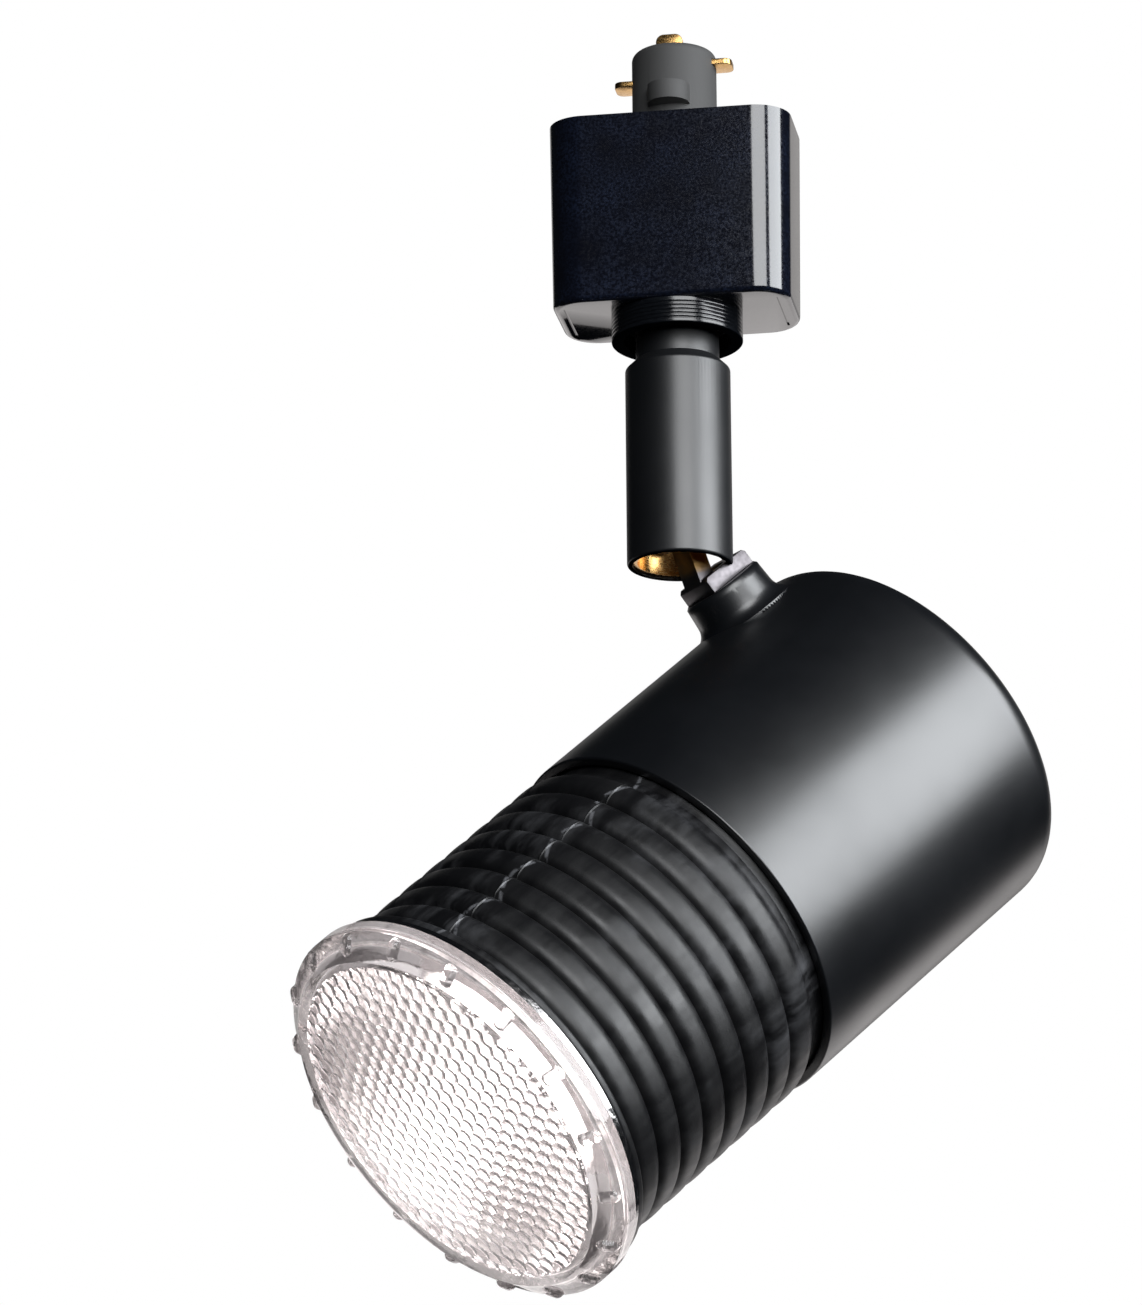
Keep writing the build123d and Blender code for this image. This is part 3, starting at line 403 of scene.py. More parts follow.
def repeat_tree():
    """Geometry Nodes: copies of the incoming piece, each moved by a step and turned about z."""
    tree, given, result = geometry_tree(
        "spotlight_repeat", Count="Int", Step="Vector", Turn="Float", Weld="Float", Finish="Material"
    )
    nodes, links = tree.nodes, tree.links
    index = nodes.new("GeometryNodeInputIndex")
    points = nodes.new("GeometryNodePoints")
    step = nodes.new("ShaderNodeVectorMath")
    step.operation = "SCALE"
    turn = nodes.new("ShaderNodeMath")
    turn.operation = "MULTIPLY"
    about = nodes.new("ShaderNodeCombineXYZ")
    copies = nodes.new("GeometryNodeInstanceOnPoints")
    real = nodes.new("GeometryNodeRealizeInstances")
    weld = nodes.new("GeometryNodeMergeByDistance")
    finish = nodes.new("GeometryNodeSetMaterial")
    links.new(given.outputs["Count"], points.inputs["Count"])
    links.new(given.outputs["Step"], step.inputs[0])
    links.new(index.outputs[0], step.inputs["Scale"])
    links.new(step.outputs[0], points.inputs["Position"])
    links.new(given.outputs["Turn"], turn.inputs[0])
    links.new(index.outputs[0], turn.inputs[1])
    links.new(turn.outputs[0], about.inputs["Z"])
    links.new(points.outputs[0], copies.inputs["Points"])
    links.new(given.outputs["Geometry"], copies.inputs["Instance"])
    links.new(about.outputs[0], copies.inputs["Rotation"])
    links.new(copies.outputs[0], real.inputs[0])
    links.new(real.outputs[0], weld.inputs[0])
    links.new(given.outputs["Weld"], weld.inputs["Distance"])
    links.new(weld.outputs[0], finish.inputs["Geometry"])
    links.new(given.outputs["Finish"], finish.inputs["Material"])
    links.new(finish.outputs[0], result.inputs[0])
    return tree


def repeater():
    """The repeat tree, made once."""
    return bpy.data.node_groups.get("spotlight_repeat") or repeat_tree()


def coil_tree():
    """Geometry Nodes: a round wire wound into a straight coil along z."""
    tree, given, result = geometry_tree(
        "spotlight_coil", Turns="Float", Radius="Float", Length="Float", Wire="Float", Finish="Material"
    )
    nodes, links = tree.nodes, tree.links
    coil = nodes.new("GeometryNodeCurveSpiral")
    coil.inputs["Resolution"].default_value = 20
    wire = nodes.new("GeometryNodeCurvePrimitiveCircle")
    wire.inputs["Resolution"].default_value = 8
    sweep = nodes.new("GeometryNodeCurveToMesh")
    sweep.inputs["Fill Caps"].default_value = True
    real = nodes.new("GeometryNodeRealizeInstances")
    finish = nodes.new("GeometryNodeSetMaterial")
    links.new(given.outputs["Turns"], coil.inputs["Rotations"])
    links.new(given.outputs["Radius"], coil.inputs["Start Radius"])
    links.new(given.outputs["Radius"], coil.inputs["End Radius"])
    links.new(given.outputs["Length"], coil.inputs["Height"])
    links.new(given.outputs["Wire"], wire.inputs["Radius"])
    links.new(coil.outputs[0], sweep.inputs["Curve"])
    links.new(wire.outputs[0], sweep.inputs["Profile Curve"])
    links.new(sweep.outputs[0], real.inputs[0])
    links.new(real.outputs[0], finish.inputs["Geometry"])
    links.new(given.outputs["Finish"], finish.inputs["Material"])
    links.new(finish.outputs[0], result.inputs[0])
    return tree


def through_tree(name, mesh, tree, **inputs):
    """A plain mesh made from another by a node tree, with the tree's named inputs set."""
    thing = bpy.data.objects.new(name, mesh)
    bpy.context.scene.collection.objects.link(thing)
    modifier = thing.modifiers.new(tree.name, "NODES")
    modifier.node_group = tree
    for socket in tree.interface.items_tree:
        if socket.in_out == "INPUT" and socket.name in inputs:
            modifier[socket.identifier] = inputs[socket.name]
    result = evaluated(thing)
    bpy.data.objects.remove(thing)
    return result


# ---------------------------------------------------------------- finishes
class Finish:
    """A material with a principled shader, and short ways to add to it."""

    def __init__(self, name, base, roughness, metallic=0.0, **sockets):
        self.material = bpy.data.materials.new(name)
        self.material.use_nodes = True
        tree = self.material.node_tree
        self.nodes, self.links = tree.nodes, tree.links
        self.shader = next(node for node in self.nodes if node.type == "BSDF_PRINCIPLED")
        self.shader.inputs["Base Color"].default_value = (*base, 1)
        self.shader.inputs["Roughness"].default_value = roughness
        self.shader.inputs["Metallic"].default_value = metallic
        for socket, value in sockets.items():
            self.shader.inputs[socket.replace("_", " ")].default_value = value
        self.material.diffuse_color = (*base, 1)
        self.place = self.nodes.new("ShaderNodeTexCoord").outputs["Object"]

    def link(self, output, node, socket):
        """Join an output to a node's socket."""
        self.links.new(output, node.inputs[socket])

    def mapped(self, scale=(1, 1, 1), place=None):
        """Object coordinates, centred and turned by a place and stretched by a scale."""
        mapping = self.nodes.new("ShaderNodeMapping")
        mapping.vector_type = "TEXTURE"
        if place is not None:
            mapping.inputs["Location"].default_value = place.translation
            mapping.inputs["Rotation"].default_value = place.to_euler()
        self.link(self.place, mapping, "Vector")
        stretch = self.nodes.new("ShaderNodeVectorMath")
        stretch.operation = "MULTIPLY"
        stretch.inputs[1].default_value = scale
        self.link(mapping.outputs[0], stretch, 0)
        return stretch.outputs[0]

    def noise(self, scale, detail=3.0, rough=0.55, vector=None):
        """Noise at this many features to a metre."""
        noise = self.nodes.new("ShaderNodeTexNoise")
        noise.inputs["Scale"].default_value = scale
        noise.inputs["Detail"].default_value = detail
        noise.inputs["Roughness"].default_value = rough
        self.link(vector or self.place, noise, "Vector")
        return noise.outputs["Fac"]

    def spread(self, value, low, high, to_low=0.0, to_high=1.0):
        """A value mapped from one range to another, held at its ends."""
        mapper = self.nodes.new("ShaderNodeMapRange")
        for socket, number in zip((1, 2, 3, 4), (low, high, to_low, to_high)):
            mapper.inputs[socket].default_value = number
        self.link(value, mapper, "Value")
        return mapper.outputs[0]

    def maths(self, first, second, operation="ADD"):
        """Two values joined by a maths operation."""
        node = self.nodes.new("ShaderNodeMath")
        node.operation = operation
        for socket, value in enumerate((first, second)):
            if isinstance(value, (int, float)):
                node.inputs[socket].default_value = value
            else:
                self.link(value, node, socket)
        return node.outputs[0]

    def blend(self, share, first, second):
        """Two colours mixed by a share."""
        mix = self.nodes.new("ShaderNodeMix")
        mix.data_type = "RGBA"
        self.link(share, mix, 0)
        for socket, value in ((6, first), (7, second)):
            if isinstance(value, tuple):
                mix.inputs[socket].default_value = (*value, 1)
            else:
                self.link(value, mix, socket)
        return mix.outputs[2]

    def tint(self, output):
        """Give the base colour."""
        self.link(output, self.shader, "Base Color")

    def roughen(self, value, low, high):
        """Let the roughness follow a value between two levels."""
        self.link(self.spread(value, 0.3, 0.7, low, high), self.shader, "Roughness")

    def split(self, vector):
        """The X, Y and Z outputs of a vector."""
        split = self.nodes.new("ShaderNodeSeparateXYZ")
        self.link(vector, split, 0)
        return split.outputs

    def measured(self, vector, operation, other=None):
        """A length or a distance of a vector, the distance being to another point."""
        measure = self.nodes.new("ShaderNodeVectorMath")
        measure.operation = operation
        if other is not None:
            measure.inputs[1].default_value = other
        self.link(vector, measure, 0)
        return measure.outputs["Value"]

    def dull_below(self, level, shine):
        """Take the shine away below a level, to keep the underside of a turned piece dark."""
        shine = self.spread(self.split(self.place)["Z"], level, level + 0.15 * MM, 0.0, shine)
        self.link(shine, self.shader, "Specular IOR Level")

    def glow(self, colour, strength):
        """Give off light of a colour, at a strength that follows a value."""
        self.shader.inputs["Emission Color"].default_value = (*colour, 1)
        self.link(strength, self.shader, "Emission Strength")

    def bump(self, height, depth, strength=1.0):
        """Raise the surface by a value times a depth in metres, over what is there already."""
        bump = self.nodes.new("ShaderNodeBump")
        bump.inputs["Strength"].default_value = strength
        bump.inputs["Distance"].default_value = depth
        self.link(height, bump, "Height")
        normal = self.shader.inputs["Normal"]
        if normal.links:
            self.link(normal.links[0].from_socket, bump, "Normal")
        self.link(bump.outputs[0], self.shader, "Normal")


def gloss_case(colours):
    """Gloss moulding: nearly black, faintly mottled, with a thin orange peel."""
    finish = Finish("gloss_case", colours.case_black, 0.12, IOR=1.52, Coat_Weight=0.6, Coat_Roughness=0.05)
    cloud = finish.noise(170, 4)
    speck = finish.noise(2600, 2)
    base = tuple(colours.case_black)
    mottle = finish.maths(finish.spread(cloud, 0.3, 0.75), finish.spread(speck, 0.4, 0.62), "MULTIPLY")
    finish.tint(finish.blend(mottle, base, (0.008, 0.012, 0.026)))
    finish.roughen(speck, 0.10, 0.20)
    finish.bump(speck, 0.00001, 0.35)
    finish.bump(cloud, 0.00006, 0.25)
    return finish.material


def satin_enamel(colours, name, gloss, dull_level=None):
    """Satin enamel: fine spray texture, a little uneven in gloss, dull below a level if one is given."""
    base = tuple(colours.enamel_black)
    shine = 0.9
    finish = Finish(name, base, gloss, IOR=1.5, Specular_IOR_Level=shine)
    if dull_level is not None:
        finish.dull_below(dull_level, shine)
    grain = finish.noise(5200, 2)
    cloud = finish.noise(60, 4)
    finish.tint(finish.blend(finish.spread(cloud, 0.3, 0.7), base, tuple(1.35 * c for c in base)))
    finish.roughen(cloud, gloss, gloss + 0.06)
    finish.bump(grain, 0.000012, 0.5)
    return finish.material


def gloss_enamel(colours):
    """Gloss black of the collar, with turning marks."""
    base = tuple(colours.enamel_black)
    finish = Finish("gloss_enamel", base, 0.14, IOR=1.6)
    marks = finish.noise(900, 3, vector=finish.mapped((1, 1, 9)))
    finish.tint(finish.blend(finish.spread(marks, 0.35, 0.7), base, tuple(2.0 * c for c in base)))
    finish.roughen(marks, 0.12, 0.24)
    finish.bump(marks, 0.00002, 0.4)
    finish.dull_below(collar_low + FADE, 0.5)
    return finish.material


def parting_line(finish):
    """A pale, broken zigzag where the boot's mould halves met, one step to a rib."""
    can = settings().can
    place = finish.split(finish.mapped(place=LAMP_PLACE))
    angle = finish.maths(place["Y"], place["X"], "ARCTAN2")
    beyond = finish.maths(place["Z"], can_front + can.boot_band, "SUBTRACT")
    ribs = finish.maths(beyond, can.rib_pitch, "DIVIDE")
    swing = finish.maths(finish.maths(ribs, 1.0, "PINGPONG"), 0.5, "SUBTRACT")
    sway = finish.maths(swing, radians(5), "MULTIPLY")
    turn = finish.maths(finish.maths(angle, can.seam_angle, "SUBTRACT"), sway, "SUBTRACT")
    away = finish.maths(turn, 0.0, "ABSOLUTE")
    line = finish.spread(away, radians(0.3), radians(0.9), 1.0, 0.0)
    return finish.maths(line, finish.spread(finish.noise(700, 2), 0.42, 0.56), "MULTIPLY")


def boot_moulding(colours):
    """Semi-matt boot: dusty in patches, scuffed along the ribs, with fine flow marks."""
    base = tuple(colours.boot_black)
    finish = Finish("boot_moulding", base, 0.42, IOR=1.5)
    patches = finish.noise(45, 5, 0.6)
    streaks = finish.noise(320, 4, vector=finish.mapped((1, 1, 0.25), LAMP_PLACE))
    grain = finish.noise(4200, 3)
    dust = finish.maths(finish.spread(patches, 0.46, 0.72), finish.spread(streaks, 0.42, 0.75), "MULTIPLY")
    dust = finish.maths(dust, parting_line(finish), "MAXIMUM")
    finish.tint(finish.blend(dust, base, tuple(colours.dust)))
    finish.roughen(streaks, 0.34, 0.55)
    finish.bump(grain, 0.00002, 0.5)
    finish.bump(streaks, 0.00008, 0.35)
    return finish.material


def plated(name, base, roughness, scratch):
    """A plated or drawn metal with fine marks and a little tarnish."""
    finish = Finish(name, base, roughness, 1.0)
    marks = finish.noise(1500, 4, vector=finish.mapped((1, 1, 6)))
    tarnish = finish.noise(380, 4)
    finish.tint(finish.blend(finish.spread(tarnish, 0.4, 0.75), tuple(base), tuple(0.62 * c for c in base)))
    finish.roughen(marks, roughness * 0.7, roughness * 1.5)
    finish.bump(marks, scratch, 0.4)
    return finish.material


def nickel_with_painted_brass_reflection(colours):
    """Dull nickel of the link, with a painted brass-coloured reflection close to its pin."""
    finish = Finish("nickel_with_painted_brass_reflection", colours.nickel, 0.38, 1.0)
    # Painted reflection: the nickel is tinted brass near the pin, where the real link mirrors the brass
    # sleeve.
    from_pin = finish.measured(finish.place, "DISTANCE", pivot)
    share = finish.spread(from_pin, 7.0 * MM, 8.2 * MM)
    finish.tint(finish.blend(share, tuple(0.75 * c for c in colours.brass), tuple(colours.nickel)))
    marks = finish.noise(1500, 4)
    finish.roughen(marks, 0.30, 0.48)
    finish.bump(marks, 0.00002, 0.4)
    return finish.material


def moulded(name, base, roughness, grain_depth=0.00002):
    """A moulded or fired insulator with a fine grain."""
    finish = Finish(name, base, roughness, IOR=1.5)
    grain = finish.noise(2600, 3)
    cloud = finish.noise(150, 4)
    finish.tint(finish.blend(finish.spread(cloud, 0.3, 0.7), tuple(base), tuple(0.78 * c for c in base)))
    finish.roughen(grain, roughness * 0.85, min(1.0, roughness * 1.25))
    finish.bump(grain, grain_depth, 0.5)
    return finish.material


def pressed_glass(colours):
    """Pressed glass: clear with a warm tint, slightly wavy."""
    tint = tuple(colours.glass)
    finish = Finish("pressed_glass", tint, 0.03, Transmission_Weight=0.92, IOR=1.48)
    waves = finish.noise(420, 3)
    finish.tint(finish.blend(finish.spread(waves, 0.3, 0.7), tint, tuple(0.93 * c for c in tint)))
    finish.roughen(waves, 0.02, 0.08)
    finish.bump(waves, 0.00005, 0.5)
    return finish.material


def mirror_with_painted_glow(colours):
    """Aluminised glass: stippled, with a painted glow towards its throat and one painted bright patch.

    The patch is a painted reflection of the burner: an added glow at a fixed place on the bowl, set so that
    the studio camera sees it behind the middle of the lens. It isn't a true image of the burner, and it turns
    with the lamp.
    """
    finish = Finish("mirror_with_painted_glow", (0.50, 0.49, 0.49), 0.14, 1.0)
    stipple = finish.noise(700, 2)
    finish.bump(stipple, 0.00015, 0.5)
    finish.roughen(stipple, 0.10, 0.22)
    place = finish.mapped(place=LAMP_PLACE)
    # Painted glow on the bowl, strongest at its throat, standing in for the burner's light mirrored there.
    depth = finish.spread(finish.split(place)["Z"], reflector_back, reflector_front, 1.0, 0.0)
    painted_throat_glow = finish.maths(finish.maths(depth, 2.2, "POWER"), 6.0, "MULTIPLY")
    # Painted reflection: a bright glint of the burner, painted at a fixed spot on the bowl.
    away = finish.measured(place, "DISTANCE", settings().lamp.painted_glint_centre)
    painted_glint = finish.spread(away, 3.0 * MM, 18.0 * MM, 1.0, 0.0)
    painted_glint = finish.maths(finish.maths(painted_glint, 2.0, "POWER"), 14.0, "MULTIPLY")
    glow = finish.maths(finish.maths(painted_throat_glow, 0.16), painted_glint)
    uneven = finish.spread(finish.noise(260, 3), 0.35, 0.65, 0.10, 1.6)
    radius = finish.measured(finish.mapped((1, 1, 0), LAMP_PLACE), "LENGTH")
    bowl = finish.spread(radius, mouth_radius - 0.3 * MM, mouth_radius, 1.0, 0.0)
    finish.glow(colours.glow, finish.maths(finish.maths(glow, uneven, "MULTIPLY"), bowl, "MULTIPLY"))
    return finish.material


def lit_quartz(colours):
    """Quartz of the capsule, lit from within."""
    finish = Finish("lit_quartz", (0.96, 0.96, 0.97), 0.08, IOR=1.46)
    shade = finish.noise(300, 2)
    finish.glow(colours.glow, finish.spread(shade, 0.3, 0.7, 5.0, 8.0))
    finish.bump(shade, 0.00004, 0.3)
    return finish.material


def lit_tungsten(colours):
    """Tungsten wire at its working heat."""
    finish = Finish("lit_tungsten", (0.3, 0.28, 0.26), 0.4, 1.0)
    shade = finish.noise(900, 2)
    finish.glow((1.0, 0.86, 0.66), finish.spread(shade, 0.3, 0.7, 12.0, 18.0))
    finish.bump(shade, 0.00002, 0.3)
    return finish.material


def settings():
    """The scene's settings for the spotlight."""
    return bpy.context.scene.spotlight


def finish_named(name):
    """A finish, made the first time that a piece asks for it."""
    if name in bpy.data.materials:
        return bpy.data.materials[name]
    colours = settings().colours
    makers = {
        "gloss_case": lambda: gloss_case(colours),
        "satin_enamel": lambda: satin_enamel(colours, "satin_enamel", 0.30),
        "stem_enamel": lambda: satin_enamel(colours, "stem_enamel", 0.40, stem_low + FADE),
        "gloss_enamel": lambda: gloss_enamel(colours),
        "boot_moulding": lambda: boot_moulding(colours),
        "pressed_glass": lambda: pressed_glass(colours),
        "mirror_with_painted_glow": lambda: mirror_with_painted_glow(colours),
        "lit_quartz": lambda: lit_quartz(colours),
        "lit_tungsten": lambda: lit_tungsten(colours),
        "nickel_with_painted_brass_reflection": lambda: nickel_with_painted_brass_reflection(colours),
        "zinc_plate": lambda: plated("zinc_plate", colours.zinc, 0.30, 0.00002),
        "drawn_brass": lambda: plated("drawn_brass", colours.brass, 0.22, 0.00003),
        "rolled_aluminium": lambda: plated("rolled_aluminium", (0.72, 0.72, 0.73), 0.28, 0.00002),
        "solder": lambda: plated("solder", (0.60, 0.60, 0.58), 0.35, 0.00005),
        "cover_plastic": lambda: moulded("cover_plastic", (0.022, 0.022, 0.024), 0.42),
        "key_plastic": lambda: moulded("key_plastic", (0.045, 0.045, 0.047), 0.48),
        "red_fibre": lambda: moulded("red_fibre", (0.30, 0.07, 0.04), 0.65),
        "porcelain": lambda: moulded("porcelain", (0.84, 0.82, 0.77), 0.22, 0.000008),
        "black_glass": lambda: moulded("black_glass", (0.012, 0.010, 0.014), 0.10, 0.000008),
    }
    return makers[name]()


# ---------------------------------------------------------------- operators
class SPOTLIGHT_OT_adapter(bpy.types.Operator):
    """Make the adapter's case, cover, key and contacts"""

    bl_idname = "spotlight.adapter"
    bl_label = "Track adapter"

    def execute(self, context):
        edge = settings().stem.case_edge
        rows = (
            ("adapter_housing", "gloss_case", "adapter_plastic", 0),
            ("adapter_cover", "cover_plastic", "cover_plastic", edge),
            ("track_key", "key_plastic", "key_plastic", edge),
            ("cover_screws", "zinc_plate", "zinc_steel", edge / 3),
            ("live_contact", "drawn_brass", "contact_brass", edge / 3),
            ("neutral_contact", "drawn_brass", "contact_brass", edge / 3),
            ("ground_contact", "drawn_brass", "contact_brass", edge / 3),
            ("bearing_washer", "red_fibre", "fibre", 0),
        )
        refine_all("adapter", rows)
        return {"FINISHED"}


class SPOTLIGHT_OT_collar(bpy.types.Operator):
    """Turn the grooved collar under the adapter"""

    bl_idname = "spotlight.collar"
    bl_label = "Grooved collar"

    def execute(self, context):
        stem = settings().stem
        angles = even_angles(160)
        pitch, depth = stem.groove_pitch, stem.groove_depth
        land = pitch * 0.5
        groove = [
            (collar_radius, 0), (collar_radius, -land * 0.7), (collar_radius - depth * 0.3, -land),
            (collar_radius - depth, -land * 1.3), (collar_radius - depth, -pitch * 0.8),
            (collar_radius - depth * 0.3, -pitch * 0.93), (collar_radius, -pitch),
        ]
        start = collar_high - (collar_high - collar_low - stem.groove_count * pitch) * 0.45
        band = welded("collar_groove", [turned(groove, angles, closed=False)])
        finish = finish_named("gloss_enamel")
        band = through_tree(
            "collar_grooves", band, repeater(), Count=stem.groove_count, Step=(0, 0, -pitch), Turn=0.0,
            Weld=1e-6, Finish=finish,
        )
        band.transform(Matrix.Translation((0, 0, start)))
        end = start - stem.groove_count * pitch
        edge = stem.soft_edge
        web_low = collar_high - stem.collar_web
        bore_edge = 0.3 * MM
        rest = rounded(
            [
                (collar_radius, end, 0), (collar_radius, collar_low, edge),
                (stem.collar_bore, collar_low, edge), (stem.collar_bore, web_low, bore_edge),
                (stem.spindle_bore, web_low, 0), (stem.spindle_bore, collar_high, 0),
                (collar_radius, collar_high, edge / 2), (collar_radius, start, 0),
            ],
            closed=False,
        )
        mesh = welded("collar", [shell_of(band), turned(rest, angles, closed=False)], weld=2e-6)
        place_in_model(piece("grooved_collar", mesh, finish, 40), "adapter", "collar_black", "stem_collar")
        return {"FINISHED"}


class SPOTLIGHT_OT_stem(bpy.types.Operator):
    """Finish the stem tube, its brass lining and its swivel parts"""

    bl_idname = "spotlight.stem"
    bl_label = "Stem"

    def execute(self, context):
        edge = settings().stem.soft_edge
        rows = (
            ("stem_tube", "stem_enamel", "satin_black", edge / 2),
            ("pivot_sleeve", "drawn_brass", "sleeve_brass", edge / 3),
            ("tilt_pin", "zinc_plate", "zinc_steel", 0),
            ("tilt_spacers", "zinc_plate", "zinc_steel", edge / 2),
            ("stem_nipple", "zinc_plate", "zinc_steel", 0),
            ("stop_washer", "zinc_plate", "zinc_steel", 0),
            ("wave_washer", "zinc_plate", "zinc_steel", 0),
            ("lock_nut", "zinc_plate", "zinc_steel", 0),
        )
        refine_all("stem", rows)
        return {"FINISHED"}


class SPOTLIGHT_OT_link(bpy.types.Operator):
    """Finish the tilting link and the boss on the can"""

    bl_idname = "spotlight.link"
    bl_label = "Tilting link"

    def execute(self, context):
        edge = settings().stem.soft_edge
        rows = (
            ("knuckle_link", "nickel_with_painted_brass_reflection", "link_nickel", edge),
            ("link_boss", "satin_enamel", "satin_black", 0),
            ("link_saddle", "rolled_aluminium", "bare_aluminium", 0),
            ("link_lock_washer", "zinc_plate", "zinc_steel", 0),
            ("link_nut", "zinc_plate", "zinc_steel", 0),
            ("socket_bracket", "zinc_plate", "zinc_steel", 0),
        )
        refine_all("head", rows)
        return {"FINISHED"}


class SPOTLIGHT_OT_can(bpy.types.Operator):
    """Turn the lamp housing with its rolled lip and round rear edge"""

    bl_idname = "spotlight.can"
    bl_label = "Lamp housing"

    def execute(self, context):
        can = settings().can
        inside = can_radius - can.wall
        lip_inside = can_radius - can.lip_width
        floor = can_back + can.wall
        lip_back = can_front - can.lip_depth
        lip_edge = 0.35 * MM
        outline = rounded(
            [
                (0, can_back, 0), (can_radius, can_back, can.rear_edge),
                (can_radius, can_front, lip_edge), (lip_inside, can_front, lip_edge),
                (lip_inside, lip_back, 0), (inside, lip_back, 0),
                (inside, floor, can.rear_edge - can.wall), (0, floor, 0),
            ],
            steps=12,
        )
        mesh = welded("can", [turned(outline, even_angles(256))], LAMP_PLACE)
        thing = piece("lamp_housing_finished", mesh, finish_named("satin_enamel"), 40)
        drill = bpy.data.meshes.new("stud_drill")
        form = bmesh.new()
        bmesh.ops.create_cone(
            form,
            cap_ends=True,
            segments=48,
            radius1=can.stud_hole,
            radius2=can.stud_hole,
            depth=can.wall * 8,
            matrix=seat(lamp_centre + arm_dir * can_radius, lamp_dir, arm_dir),
        )
        form.to_mesh(drill)
        form.free()
        cutter = bpy.data.objects.new("stud_drill", drill)
        context.scene.collection.objects.link(cutter)
        hole = thing.modifiers.new("stud_hole", "BOOLEAN")
        hole.object = cutter
        hole.operation = "DIFFERENCE"
        evaluated(thing)
        bpy.data.objects.remove(cutter)
        thing.data.shade_smooth()
        thing.data.set_sharp_from_angle(angle=radians(40))
        place_in_model(thing, "head", "satin_black", "lamp_housing")
        return {"FINISHED"}


class SPOTLIGHT_OT_boot(bpy.types.Operator):
    """Mould the ribbed boot, with its parting line"""

    bl_idname = "spotlight.boot"
    bl_label = "Ribbed boot"

    def execute(self, context):
        can = settings().can
        seam = can.seam_angle
        fine = [seam + radians(turn) for turn in (-0.55, -0.22, 0.0, 0.22, 0.55)]
        angles = sorted([a for a in even_angles(200) if abs(a - seam) > radians(1.2)] + fine)
        pitch, low, high = can.rib_pitch, can.valley, can.crest
        strip = self.rib(low, high, pitch)
        rib = welded("boot_rib", [turned(strip, angles, closed=False)])
        finish = finish_named("boot_moulding")
        ribs = through_tree(
            "boot_ribs", rib, repeater(), Count=can.rib_count, Step=(0, 0, pitch), Turn=0.0,
            Weld=1e-6, Finish=finish,
        )
        start = can_front + can.boot_band
        end = start + can.rib_count * pitch
        ribs.transform(Matrix.Translation((0, 0, start)))
        sleeve = can_radius - can.wall - 0.05 * MM
        band = low - 0.6 * MM
        rest = rounded(
            [
                (low, end, 0), (boot_radius - 1.2 * MM, end + 0.2 * MM, 0.2 * MM),
                (boot_radius, end + 0.9 * MM, 0.5 * MM), (boot_radius, boot_front, 0.45 * MM),
                (can.boot_mouth, boot_front, 0.2 * MM), (can.boot_mouth, end - 1.2 * MM, 0),
                (can.boot_inside, end - 4.5 * MM, 1 * MM), (can.boot_inside, boot_back, 0.3 * MM),
                (sleeve, boot_back, 0.3 * MM), (sleeve, can_front - can.lip_depth - 0.5 * MM, 0),
                (band, can_front - can.lip_depth, 0), (band, can_front + can.boot_band * 0.4, 0.3 * MM),
                (low - 0.15 * MM, start - 0.5 * MM, 0.2 * MM), (low, start, 0),
            ],
            closed=False,
        )
        mesh = welded("boot", [shell_of(ribs), turned(rest, angles, closed=False)], weld=3e-6)
        self.raise_seam(mesh, seam, start, end, low, pitch)
        mesh.transform(LAMP_PLACE)
        place_in_model(piece("ribbed_boot", mesh, finish, 50), "head", "boot_rubber", "lens_boot")
        return {"FINISHED"}

    def rib(self, low, high, pitch):
        """Outline of one rib: a broad crest between two sharp valleys."""
        steps = 20
        points = []
        for step in range(steps + 1):
            share = 0.5 - 0.5 * cos(pi * step / steps)
            points.append((low + (high - low) * (1 - abs(2 * share - 1) ** 3.4), pitch * share))
        return points

    def raise_seam(self, mesh, seam, start, end, low, pitch):
        """Lift the parting line by a hair, with a tick of flash on each crest."""
        for vertex in mesh.vertices:
            x, y, z = vertex.co
            radius = sqrt(x * x + y * y)
            if radius < low - 0.1 * MM or not start < z < end:
                continue
            if abs(atan2(y, x) - seam) < radians(0.1):
                share = ((z - start) / pitch) % 1
                tick = 0.10 * MM + 0.16 * MM * max(0.0, sin(pi * share)) ** 6
                vertex.co.x += tick * x / radius
                vertex.co.y += tick * y / radius


